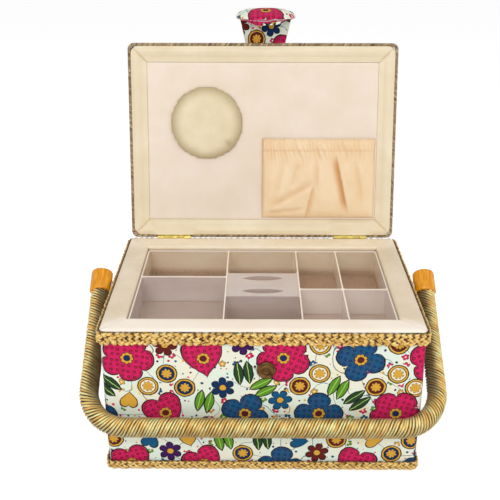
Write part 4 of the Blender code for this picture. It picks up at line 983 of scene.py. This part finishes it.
def make_braid(name, node, span, strands, periods, width, thick, samples, seed, painted_shade=0.0):
    """A flat plait: each strand swings across it and passes over and under the others."""
    low, high, proud = span
    base = 0.0002 + proud / 2
    loop = Loop(HALF_WIDTH + base, HALF_DEPTH + base, CORNER + base)
    s = loop.even(periods * samples)
    plan, way = loop.at(s)
    turns = s / loop.total
    chance = np.random.default_rng(seed)
    swing = (high - low) / 2 - width * 0.86
    lift = proud / 2 - thick
    normal = raised(way, 0.0)
    middle = raised(plan, (low + high) / 2)
    # Painted shade: a dark strip behind the strands stands for the shade in the gaps of the plait.
    tall, flat = (high - low) / 2 - 0.0016, 0.0004  # a dark strip behind the strands
    strip = [(-tall, -flat), (tall, -flat), (tall, flat), (-tall, flat)]
    parts = [tube(middle - normal * lift, normal, strip, closed=True)]
    shades, depth_shades = [1.0], [np.ones(len(parts[0][0]))]
    for k in range(strands):
        drift = wander(chance, turns, 0.05, 0.16, (7, 13, 23, 41))
        phase = TAU * (turns * periods + k / strands) + drift
        uneven = 1 + 0.10 * np.sin(TAU * 31 * turns + k * 2.1) + 0.08 * np.sin(TAU * 57 * turns + k)
        path = raised(plan + way * (lift * np.sin((strands - 1) * phase))[:, None],
                      (low + high) / 2 + swing * np.sin(phase))
        section = oval(width, thick, 10, 0.04)[None] * uneven[:, None, None]
        parts.append(tube(path, normal, section, closed=True))
        # An extra share of darkness on every strand is painted shade, and each strand is painted darker
        # where it lies deep in the plait.
        shades.append(chance.uniform(0.1, 0.7) + painted_shade)
        depth_shades.append(depth_from(parts[-1][0], middle, -0.12 * proud, 0.34 * proud, normal))
    dress(gathered(name, parts, STRAW, shades, depth_shades), "basket", "straw", node)


def round_in(x, y, half_x, half_y, radius, mid_y=0.0):
    """Pulls plan points into a rounded rectangle's corners."""
    a, b = half_x - radius, half_y - radius
    dx, dy = abs(x) - a, abs(y - mid_y) - b
    far = np.hypot(dx, dy)
    corner = (dx > 0) & (dy > 0) & (far > radius)
    scale = radius / np.maximum(far, 1e-9)
    return (np.where(corner, np.sign(x) * (a + dx * scale), x),
            np.where(corner, mid_y + np.sign(y - mid_y) * (b + dy * scale), y))


def frame_sides(outer_x, outer_low, outer_high, inner_x, inner_low, inner_high):
    """The corners of four mitred strips, outer edge first, each from one mitre to the next."""
    o, i = (((-x, low), (x, low), (x, high), (-x, high))
            for x, low, high in ((outer_x, outer_low, outer_high), (inner_x, inner_low, inner_high)))
    return [(side, (o[n], o[(n + 1) % 4], i[(n + 1) % 4], i[n]))
            for n, side in enumerate(("front", "right", "back", "left"))]


def strip_grid(corners, across):
    """Plan places on a mitred strip, and each one's distance from its outer, inner and mitred edges."""
    a, b, c, d = (np.array(p, float) for p in corners)
    length = np.linalg.norm(b - a)
    s = np.linspace(0, 1, max(8, round(length / STRIP_STEP)) + 1)
    close = 0.5 - 0.5 * np.cos(np.pi * np.linspace(0, 1, across))
    s, t = np.meshgrid(s, close, indexing="ij")
    outer = a + (b - a) * s[..., None]
    inner = d + (c - d) * s[..., None]
    width = abs(np.dot(d - a, np.array([-(b - a)[1], (b - a)[0]]) / length))
    here = length + (np.linalg.norm(c - d) - length) * t
    mitre = np.minimum(s, 1 - s) * here * math.sqrt(0.5)
    return outer + (inner - outer) * t[..., None], t * width, (1 - t) * width, mitre, s * length


def make_rims():
    """The padded satin border round the mouth, in four mitred strips."""
    gap = 0.0003
    leaf_level, knuckle_level = 0.00468, 0.0024  # as high as the rim may reach under them
    sides = frame_sides(RIM_OUT_X, -RIM_OUT_Y, RIM_OUT_Y,
                        MOUTH_X - gap, MOUTH_FRONT + gap, MOUTH_BACK - gap)
    for number, (side, corners) in enumerate(sides):
        plan, from_out, from_in, from_mitre, along = strip_grid(corners, 23)
        x, y = round_in(plan[..., 0], plan[..., 1], RIM_OUT_X, RIM_OUT_Y, RIM_ROUND)
        full = (0.53 + 0.47 * crest(from_out, RIM_ROUND)) * (0.66 + 0.34 * crest(from_in, 0.0030))
        full *= 1 - 0.04 * (1 - crest(from_mitre, 0.0022))
        pucker = swell(grid(along, from_out * 0.35), 0.011, 40 + number)
        loose = swell(grid(x, y), 0.035, 50 + number)
        full *= 0.972 + 0.012 * pucker * (1 - 0.5 * crest(from_out, 0.01)) + 0.018 * loose
        height = np.clip(full, 0.50, 1.0) * (RIM_TOP - RIM_BASE)
        if side == "back":
            beside = abs(abs(x) - HINGE_X)
            leaf_there = ease(beside, 0.0215, 0.0192) * ease(y, 0.0920, 0.0936)
            height = height + (leaf_level - height) * leaf_there
            knuckle_there = ease(beside, 0.0205, 0.0190) * ease(y, 0.1056, 0.1064)
            height = height + (np.minimum(height, knuckle_level) - height) * knuckle_there
        over_wall = ease(from_out, 0.0032, 0.0026)
        obj = slab("rim_satin_" + side, grid(x, y, RIM_BASE + height),
                   grid(x, y, RIM_BASE + 0.00215 * over_wall), RIM_SATIN)
        dress(obj, "basket", "satin", "rim_" + side, fill=0.7)


def make_lid_rails():
    """The padded satin border inside the lid, its inner flank rolled down to the field."""
    sides = frame_sides(LID_WOOD_X, LID_MID_Y - LID_WOOD_Y, LID_MID_Y + LID_WOOD_Y,
                        FIELD_X, LID_MID_Y - FIELD_Y, LID_MID_Y + FIELD_Y)
    ways = {"front": (0, -1), "right": (1, 0), "back": (0, 1), "left": (-1, 0)}
    shallow = 0.0001
    for number, (side, corners) in enumerate(sides):
        plan, from_out, from_in, from_mitre, along = strip_grid(corners, 31)
        x, y = round_in(plan[..., 0], plan[..., 1], LID_WOOD_X, LID_WOOD_Y, 0.0035, LID_MID_Y)
        depth = BORDER_Z + (FIELD_Z + 0.0004 - BORDER_Z) * ease(from_in, 0.0125, 0.0)
        depth += 0.0016 * (1 - crest(from_out, 0.0045)) + 0.0007 * (1 - crest(from_mitre, 0.0016))
        depth += 0.00028 * bell(from_in, 0.0054, 0.0008)
        pucker = swell(grid(along, from_out * 0.3), 0.012, 60 + number)
        loose = swell(plan, 0.04, 70 + number)
        depth -= 0.00008 * pucker * ease(from_in, 0.012, 0.002) + 0.00020 * loose
        if side == "back":
            leaf_there = ease(abs(abs(x) - HINGE_X), 0.0290, 0.0192) * ease(y, -0.0215, -0.0152)
            depth = depth + (shallow - depth) * leaf_there
        depth = np.clip(depth, shallow, RAIL_THICK - 0.001)
        lip = 0.0016 * ease(from_out, 0.0006, 0.0) * ease(from_mitre, 0.0, 0.004)
        top = grid(x + lip * ways[side][0], y + lip * ways[side][1], depth)
        obj = slab("lid_border_" + side, from_lid(top), from_lid(grid(x, y, RAIL_THICK)), LID_SATIN)
        dress(obj, "lid", "satin", "lid_rail_" + side, fill=0.7)


def make_lid_field():
    """The satin field inside the lid, softly padded and almost level with the border round it."""
    gap, near_edge = 0.0003, 0.007
    close = np.array([0.0, 0.0006, 0.0014, 0.0026, 0.0045])

    def spread(half, count):
        plain = np.linspace(near_edge - half, half - near_edge, count)
        return np.concatenate([close - half, plain, half - close[::-1]])

    x, y = np.meshgrid(spread(FIELD_X - gap, 84), LID_MID_Y + spread(FIELD_Y - gap, 58), indexing="ij")
    edge = np.minimum(FIELD_X - abs(x), FIELD_Y - abs(y - LID_MID_Y))
    loose = 0.00025 * swell(grid(x, y), 0.07, 81) + 0.00008 * swell(grid(x, y * 0.4), 0.024, 82)
    depth = FIELD_Z - loose * ease(edge, 0.0, 0.02) + 0.0009 * (1 - crest(edge, 0.0035))
    obj = slab("lid_field", from_lid(grid(x, y, depth)), from_lid(grid(x, y, RAIL_THICK)), FIELD_SATIN)
    dress(obj, "lid", "satin", "lid_lining", fill=0.6)


def foam_form():
    """The lid's padding as a plain crown blown up as cloth, to cast rays on."""
    a = np.linspace(-1, 1, 34)
    half_x, half_y = LID_X - PAD_INSET, LID_Y - PAD_INSET
    x, y = np.meshgrid(a * half_x, LID_MID_Y + a * half_y, indexing="ij")
    share = np.clip(np.maximum(abs(x) / half_x, abs(y - LID_MID_Y) / half_y), 0, 1)
    crown = PAD_EDGE + (PAD_CROWN - PAD_EDGE) * (1 - share ** 2.4)
    rough = slab("pad_form", grid(x, y, crown - PAD_LIFT), grid(x, y, FOAM_Z - 0.002), PRINT)
    soft = inflated("pad_soft", *taken(rough), 0.006, 4.0, FOAM_Z + 0.0012, 0.0045, PRINT)
    return BVHTree.FromPolygons(*taken(soft))


def make_lid_pad():
    """The lid's printed cloth over foam: crowned, soft and drawn down round the edges."""
    tree = foam_form()
    loop = Loop(LID_X, LID_Y, CORNER)
    s = loop.stations(0.005, 6)
    ring, way = loop.at(s)
    inner = ring - way * COVER_THICK
    hem = 0.0018
    rings = [(inner * 0.05, FOAM_Z), (inner * 0.5, FOAM_Z), (inner, FOAM_Z), (inner, hem), (ring, hem)]
    for z in (0.006, 0.010, 0.014, 0.0172):
        puff = np.clip(0.0004 + 0.0004 * swell(raised(ring, z), 0.03, 90), 0, 0.001)
        rings.append((ring + way * puff[:, None], z))
    rings += [(ring - way * inset, z)
              for inset, z in ((0.0006, 0.0194), (0.0018, 0.0208), (0.0036, 0.0220))]
    floor, sky, pull = PAD_EDGE + PAD_LIFT, 0.2, 0.985
    for share in (1.0, 0.975, 0.95, 0.92, 0.89, 0.86, 0.82, 0.78, 0.74, 0.69,
                  0.64, 0.58, 0.52, 0.45, 0.38, 0.30, 0.22, 0.14, 0.07, 0.03):
        plan = (ring - way * PAD_INSET) * share
        z = []
        for px, py in plan * pull:
            hit = tree.ray_cast(Vector((px, py + LID_MID_Y, sky)), Vector((0, 0, -1)))[0]
            z.append(hit.z + PAD_LIFT if hit is not None else PAD_EDGE + 0.0016)
        rise = np.maximum(np.array(z) - floor, 0) * ease(1 - share, -0.002, 0.06)
        rings.append((plan, floor + rise + 0.0004 * (1 - share)))
    rings = [raised(plan + (0.0, LID_MID_Y), z) for plan, z in rings]
    under, over = (0, LID_MID_Y, FOAM_Z), (0, LID_MID_Y, rings[-1][:, 2].mean())
    points = np.concatenate([[under], *rings, [over]])
    # The print runs straight over the edge: down the sides, u or v grows by the height that is lost
    drop = np.clip(0.0222 - points[:, 2], 0, 1)
    x, y = points[:, 0], points[:, 1]
    side_x, side_y = (np.clip((far - (half - 0.007)) / 0.006, 0, 1)
                      for far, half in ((abs(x), LID_X), (abs(y - LID_MID_Y), LID_Y)))
    u = x + np.sign(x) * drop * side_x
    v = 0.021 - y - np.sign(y - LID_MID_Y) * drop * side_y
    obj = build("lid_pad", from_lid(points), poled(len(rings), len(s)), PRINT, grid(-u, v))
    modified(obj, "SUBSURF", levels=1, render_levels=1)
    dress(obj, "lid", "print_fabric", "lid_fabric", "lid_foam", fill=0.75)


def make_lid_cord():
    """The mottled cord round the lid's edge, twisted of three plies."""
    loop = Loop(*CORD_LOOP)
    twist, lay, ply = 0.00095, 0.0062, 0.00108
    ring, way = loop.at(loop.even(1500))
    path = raised(ring + (0, LID_MID_Y), CORD_Z)
    side = raised(way, 0.0)
    along = lengths(path)
    total = along[-1] + np.linalg.norm(path[0] - path[-1])
    parts = []
    for k in range(3):
        phase = TAU * (along / total * round(total / lay) + k / 3)
        out = side * np.cos(phase)[:, None] + (0.0, 0.0, 1.0) * np.sin(phase)[:, None]
        parts.append(tube(path + out * twist, out, oval(ply, ply * 0.95, 7), True))
    # Painted shade where the plies turn in towards the cord's middle.
    depth_shades = [depth_from(part[0], path, 0.0008, 0.0017) for part in parts]
    obj = gathered("lid_edge_cord", parts, CORD, (0.15, 1.0, 0.75), depth_shades, place=from_lid)
    dress(obj, "lid", "cord_trim", "lid_piping")


def make_pincushion():
    """A round satin cushion, blown up as cloth, with small pleats where it is drawn in at its edge."""
    corners = points_of(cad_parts["pincushion"])
    up = (corners[:, 1] - HINGE_Y) * math.sin(LEAN) + (corners[:, 2] - HINGE_Z) * math.cos(LEAN)
    mid_x, mid_up = ((c.max() + c.min()) / 2 for c in (corners[:, 0], up))
    slack, steps = 0.0012, 11  # the height left for it to swell into, and that stays held below
    profile = [(0.0, 0.0), (0.034, 0.0)]
    for step in range(steps):
        angle = QUARTER * (step + 0.3) / steps
        profile.append(((CUSHION_RADIUS - 0.0010) * math.cos(angle) ** 0.6,
                        (CUSHION_HIGH - slack) * math.sin(angle) ** 0.9))
    profile.append((0.0, CUSHION_HIGH - slack))
    form = lathe("cushion_form", profile, 64, np.asarray, CUSHION_SATIN)
    obj = inflated("pincushion_satin", *taken(form), 0.0032, 5.0, slack, 0.0016, CUSHION_SATIN)
    modified(obj, "SUBSURF", levels=1, render_levels=1)
    p = points_of(obj)
    p[:, :2] *= CUSHION_RADIUS / np.hypot(p[:, 0], p[:, 1]).max()
    far = np.hypot(p[:, 0], p[:, 1]) / CUSHION_RADIUS
    angle = np.arctan2(p[:, 1], p[:, 0])
    on_edge = grid(np.cos(angle), np.sin(angle)) * 0.04
    pleat = np.sin(angle * 46 + 2.0 * swell(on_edge, 0.03, 101))
    pleat *= 0.6 + 0.4 * swell(on_edge, 0.02, 102)
    held = ease(far, 0.62, 1.0) * ease(p[:, 2], 0.0, 0.002)
    p[:, 2] += 0.00016 * pleat * held + 0.00022 * swell(p, 0.03, 103) * ease(p[:, 2], 0.0, 0.004)
    tuck = bell(far, 0.80, 0.12) * bell(angle, -0.75, 0.10)
    p[:, 2] -= 0.0011 * tuck
    p[:, 2] *= CUSHION_HIGH / p[:, 2].max()
    # Painted shade: darker towards the cushion's edge, in the tuck and along the pleats.
    crease_shade = ease(far, 0.66, 1.04) * 0.85 + 0.4 * tuck + 0.08 * np.clip(pleat, 0, 1) * held
    world = on_lining(mid_x + p[:, 0], mid_up + p[:, 1], p[:, 2])
    obj.data.vertices.foreach_set("co", world.astype(np.float32).ravel())
    set_values(obj.data, "crease_shade", np.clip(crease_shade, 0, 1))
    set_smooth(obj.data)
    obj.data.update()
    dress(obj, "lid", "satin", "pincushion", fill=0.85)


# The pocket's loose folds: start and end across and up it, width, lean to one side, depth, which also
# sets the shade painted in the fold
FOLDS = (
    ((0.084, 0.066), (0.096, 0.010), 0.0031, 0.55, 0.0031),
    ((0.063, 0.084), (0.062, 0.034), 0.0028, 0.4, 0.0013),
    ((0.058, 0.034), (0.050, 0.000), 0.0022, -0.5, 0.0019),
    ((0.056, 0.038), (0.014, 0.014), 0.0040, 0.3, 0.0013),
    ((0.106, 0.060), (0.113, 0.020), 0.0040, 0.3, 0.0011),
    ((0.026, 0.066), (0.018, 0.030), 0.0036, 0.3, 0.0010),
    ((0.040, 0.060), (0.034, 0.036), 0.0034, -0.3, 0.0010),
    ((0.008, 0.006), (0.046, 0.010), 0.0030, 0.2, 0.0013))
DEEPEST_FOLD = 0.0031


def fold_line(x, up, start, end, width, lean):
    """A fold's height, 1 on the line between two points and fading out beside and beyond it."""
    a, b = np.array(start), np.array(end)
    length = np.linalg.norm(b - a)
    way = (b - a) / length
    t = ((x - a[0]) * way[0] + (up - a[1]) * way[1]) / length
    off = (x - a[0]) * way[1] - (up - a[1]) * way[0]
    side = np.where(off > 0, width * (1 + lean), width * (1 - lean))
    return bell(off, 0, side) * ease(t, -0.15, 0.15) * ease(t, 1.15, 0.8)


def make_pocket():
    """The gathered pocket: an elastic hem at its mouth, close gathers under it and loose folds below."""
    up, x = np.meshgrid(np.linspace(0, POCKET_TALL, 84), np.linspace(0, POCKET_WIDTH, 230),
                        indexing="ij")
    place = grid(x, up)
    full = crest(np.minimum(x, POCKET_WIDTH - x), 0.006) * crest(up, 0.009)
    bend = 0.004 * swell(grid(x * 0.3, up), 0.05, 111)
    phase = (x + bend) / 0.0046 + 0.5 * swell(place * (1.0, 0.15), 0.03, 112)
    hem = ease(up, 0.074, 0.077)
    gather = ease(up, 0.050, 0.078)
    close = 0.5 + 0.5 * np.cos(TAU * phase)
    stray = 1.7 * swell(place * (1.0, 0.2), 0.06, 113)
    wide = 0.5 + 0.5 * np.cos(TAU * (x + 2 * bend) / 0.0210 + stray)
    seams = bell(up, 0.0765, 0.0011) + 0.6 * bell(up, 0.0875, 0.0008)
    depth = 0.0009 * close * gather ** 1.5 + 0.0011 * wide * (0.30 + 0.70 * gather) * (1 - 0.5 * hem)
    depth += 0.0005 * seams
    # Painted shade, as tint: in the gathers, folds and seams, and along the left, right and lower edges.
    tint = 0.16 * close * gather + 0.12 * wide * gather
    for *shape, deep in FOLDS:
        line = fold_line(x, up, *shape)
        depth += deep * line
        tint = np.maximum(tint, line * (deep / DEEPEST_FOLD) ** 1.5)
    tint = np.maximum(tint, 0.35 * seams.clip(0, 1))
    for edge, radius, share in ((x, 0.004, 0.7), (POCKET_WIDTH - x, 0.004, 0.3), (up, 0.005, 0.35)):
        tint += share * (1 - crest(edge, radius))
    height = (POCKET_FULL - np.minimum(depth, 0.0042) + 0.00012 * swell(place, 0.012, 114)) * full
    height -= 0.0009 * ease(up, 0.078, 0.090) * full
    wave = 0.0005 * np.cos(TAU * phase) * ease(up, 0.080, 0.090)
    world = on_lining(POCKET_LEFT + x, POCKET_LOW + up + wave, np.clip(height, 0.0003, POCKET_FULL))
    obj = build("pocket_gathered", world, quads(*x.shape), POCKET_SATIN,
                values={"crease_shade": np.clip(tint, 0, 1)})
    modified(obj, "SOLIDIFY", thickness=0.0007, offset=-1.0)
    dress(obj, "lid", "pocket_cloth", "pocket", "pocket_elastic")


def flap_path(along):
    """A place on the flap's middle line, up, over a round fold and forward, and its way out there."""
    straight = FLAP_ROOT - FLAP_REACH
    angle = min(max((along - straight) / FLAP_TURN, 0.0), FLAP_FOLD)
    out = LID_BACK * math.cos(angle) + LID_UP * math.sin(angle)
    ahead = LID_UP * math.cos(angle) - LID_BACK * math.sin(angle)
    centre = FLAP_AXIS + LID_BACK * (FLAP_OUT - FLAP_TURN) + LID_UP * straight
    beyond = min(along - straight, 0.0) + max(along - straight - FLAP_ARC, 0.0)
    return centre + out * FLAP_TURN + ahead * beyond, out


def make_flap():
    """The closure flap as one padded cloth, shaped up from the lid's edge and over a round fold."""
    total = FLAP_ROOT + FLAP_TIP - 2 * FLAP_REACH + FLAP_ARC
    rows, columns = 66, 36
    half_thick, puff_out, puff_in, droop = 0.00225, 0.0048, 0.0024, 0.0036
    print_in, print_out, print_up = 0.11, 0.027, 0.075
    along = np.linspace(FLAP_START, total, rows)
    fold_at = FLAP_ROOT - FLAP_REACH - 0.004
    bend_at = FLAP_ROOT - FLAP_REACH + FLAP_ARC / 2
    stud_at = FLAP_ROOT - 2 * FLAP_REACH + FLAP_ARC + FLAP_STUD
    half = np.interp(along, (FLAP_START, bend_at, bend_at + 0.015), (0.0215, 0.0300, 0.0330))
    tip = np.clip((along - (total - 0.022)) / 0.022, 0, 1)
    half = half * np.cos(QUARTER * tip * 0.995) ** 0.62
    angle = np.arange(columns) * TAU / columns
    points, uv = [], []
    for s, h in zip(along, half):
        middle, out = flap_path(s)
        thick = half_thick * min(1.0, math.sqrt(max(0.0, (total - s) / 0.006 + 0.02)))
        across = h * np.sign(np.cos(angle)) * abs(np.cos(angle)) ** 0.5
        off = thick * np.sign(np.sin(angle)) * abs(np.sin(angle)) ** 0.62
        plan = grid(across, s)
        uneven = 0.00035 * swell(plan, 0.022, 121) + 0.00018 * swell(plan, 0.008, 122)
        share = across / max(h, 1e-4)
        off = off * (1 + 0.10 * np.cos(share * 1.2)) + uneven * np.sign(off)
        t = np.clip((s - fold_at) / (total - fold_at), 0, 1)
        puff = math.sin(math.pi * t ** 0.85) ** 0.8 * np.clip(1 - share ** 2, 0, 1) ** 0.7
        at_stud = bell(np.hypot(across, s - stud_at), 0, 0.0120, 4)
        fullest = np.where(off > 0, puff_out, -puff_in * (1 - at_stud))
        off += puff * fullest * abs(np.sin(angle)) ** 0.5
        off -= droop * ease(t, 0.78, 1.0)
        off = np.maximum(off, -0.0021 - 0.0031 * ease(t, 0.0, 0.3) * (1 - at_stud))
        points.append(grid(SNAP_X + across, middle[0] + out[0] * off, middle[1] + out[1] * off))
        uv.append(grid(across + np.where(off < 0, print_in, print_out), s + print_up))
    faces = quads(rows, columns, False, True)
    faces += [list(range(columns)), [(rows - 1) * columns + i for i in range(columns)][::-1]]
    obj = build("flap_cloth", points, faces, PRINT, uv)
    modified(obj, "SUBSURF", levels=1, render_levels=1)
    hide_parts("tab_root", "tab_tip")
    way = LID_UP + LID_UP * math.cos(FLAP_FOLD) - LID_BACK * math.sin(FLAP_FOLD)
    way *= FLAP_TURN / np.linalg.norm(way)
    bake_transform(obj)


def handle_frames(along):
    """Places on the handle's centre line and its side ways, in the handle's frame."""
    along = np.asarray(along, float)
    mirror = along > HANDLE_LENGTH / 2
    s = np.where(mirror, HANDLE_LENGTH - along, along)
    on_arm = s <= HANDLE_ARM
    angle = np.clip((s - HANDLE_ARM) / HANDLE_CORNER, 0, QUARTER)
    on_bar = np.maximum(s - HANDLE_ARM - HANDLE_BEND, 0)
    x = np.where(on_arm, -ARM_X, -HALF_BAR - HANDLE_CORNER * np.cos(angle) + on_bar)
    y = np.where(on_arm, -s, -HANDLE_ARM - HANDLE_CORNER * np.sin(angle))
    side_x = np.where(mirror, -np.cos(angle), np.cos(angle))
    return grid(np.where(mirror, -x, x), y, 0.0), grid(side_x, np.sin(angle), 0.0)


def make_twine():
    """The twine on the handle: nine strands in a long screw, with painted shade darkest on the inner
    side of the handle.
    """
    strands, lead, radius, end, corners = 9, 0.0265, 0.00825, 0.0078, 10
    s = np.linspace(end, HANDLE_LENGTH - end, 560)
    turns = s / HANDLE_LENGTH
    centre, side = handle_frames(s)
    on_bar = np.clip(abs(side[:, 1]), 0, 1)
    chance = np.random.default_rng(301)
    parts, shades, depth_shades = [], [], []
    for k in range(strands):
        phase = wander(chance, turns, 0.02, 0.05, (9, 17, 31)) - TAU * (s / lead + k / strands)
        inward = np.cos(phase)
        out = side * inward[:, None] + (0.0, 0.0, 1.0) * np.sin(phase)[:, None]
        uneven = 1 + 0.05 * np.sin(TAU * 61 * turns + k) + 0.04 * np.sin(TAU * 97 * turns + 2 * k)
        section = oval(0.00124, 0.00120, corners)[None] * uneven[:, None, None]
        parts.append(tube(centre + out * radius, out, section))
        shades.append(chance.uniform(0.05, 0.6))
        # Painted shade: on the arms the side facing into the handle, on the bar its inner and outer
        # edges, and the gaps between strands.
        painted_shade = (1 - on_bar) * 0.88 * ease(inward, -0.45, 0.35)
        painted_shade += on_bar * (0.62 * ease(inward, 0.15, 1.0) + 0.56 * ease(inward, -0.05, -1.0))
        clear = 1 - depth_from(parts[-1][0], centre, 0.0087, 0.00932)
        depth_shades.append(1 - clear * (1 - np.repeat(painted_shade, corners)))
    obj = gathered("handle_twine", parts, TWINE, shades, depth_shades, closed=False, place=from_handle)
    dress(obj, "handle", "twine", "handle_winding")


def make_caps():
    """The orange end caps, with softly rounded ends."""
    radius, bore, end, rounding = 0.0110, 0.0075, 0.0160, 0.0022
    profile = [(0.0, 0.0125), (bore, 0.0125), (bore, -0.0080), (0.0105, -0.0080), (radius, -0.0075),
               (radius, 0.0), (radius, 0.008)]
    for step in range(7):
        angle = QUARTER * step / 6
        profile.append((radius - rounding * (1 - math.cos(angle)),
                        end - 0.0002 - rounding * (1 - math.sin(angle))))
    profile += [(0.005, end - 0.00008), (0.0, end)]
    for tag, x in (("left", -ARM_X), ("right", ARM_X)):
        obj = lathe("end_cap_" + tag, profile, 56,
                    lambda p: from_handle(grid(x + p[..., 0], p[..., 2], p[..., 1])), CAP)
        dress(obj, "handle", "orange_cap", "handle_cap_" + tag)


def make_snap():
    """The snap's half on the front wall: a rolled rim round a dish, a raised ring and a dark bore."""
    face = -HALF_DEPTH - 0.0003
    profile = [(0.0, -0.0055), (0.0020, -0.0055), (0.0020, 0.0), (0.0088, 0.0),
               (0.0090, 0.0006), (0.0090, 0.0014), (0.00885, 0.0019), (0.0084, 0.00225),
               (0.0079, 0.00235), (0.0074, 0.0022), (0.0070, 0.0018), (0.0067, 0.00145),
               (0.0060, 0.00135), (0.0046, 0.00140), (0.0042, 0.00175), (0.0037, 0.00185),
               (0.0032, 0.0017), (0.0028, 0.0012), (0.0026, 0.00078), (0.0012, 0.00075),
               (0.0008, 0.00115), (0.0, 0.0013)]
    obj = lathe("snap_disc", profile, 64,
                lambda p: grid(SNAP_X + p[..., 0], face - p[..., 2], SNAP_Z + p[..., 1]), BRONZE)
    dress(obj, "basket", "snap_bronze", "snap_socket")


def make_tray():
    """The clear tray with softened edges."""
    bm = bmesh.new()
    bm.from_mesh(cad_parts["tray"].data)
    bmesh.ops.remove_doubles(bm, verts=bm.verts, dist=0.00002)
    bmesh.ops.dissolve_limit(bm, angle_limit=math.radians(1.0), verts=bm.verts, edges=bm.edges)
    mesh = bpy.data.meshes.new("tray_clear")
    bm.to_mesh(mesh)
    bm.free()
    mesh.materials.clear()
    mesh.materials.append(CLEAR)
    obj = placed("tray_clear", mesh)
    modified(obj, "BEVEL", width=0.00035, segments=2, limit_method="ANGLE",
             angle_limit=math.radians(50))
    dress(obj, "lift_out_tray", "clear_plastic", "tray")


make_camera_and_light()
paint_nodes()
make_cover()
make_braid("top_plait", "top_braid", TOP_BRAID, strands=7, periods=24, width=0.00138,
           thick=0.00085, samples=46, seed=201)
# The bottom plait gets painted shade that darkens all its strands.
make_braid("bottom_plait", "bottom_braid", BOTTOM_BRAID, strands=5, periods=36, width=0.00124,
           thick=0.00080, samples=30, seed=202, painted_shade=0.28)
make_rims()
make_lid_rails()
make_lid_field()
make_lid_pad()
make_lid_cord()
make_pincushion()
make_pocket()
make_flap()
make_twine()
make_caps()
make_snap()
make_tray()
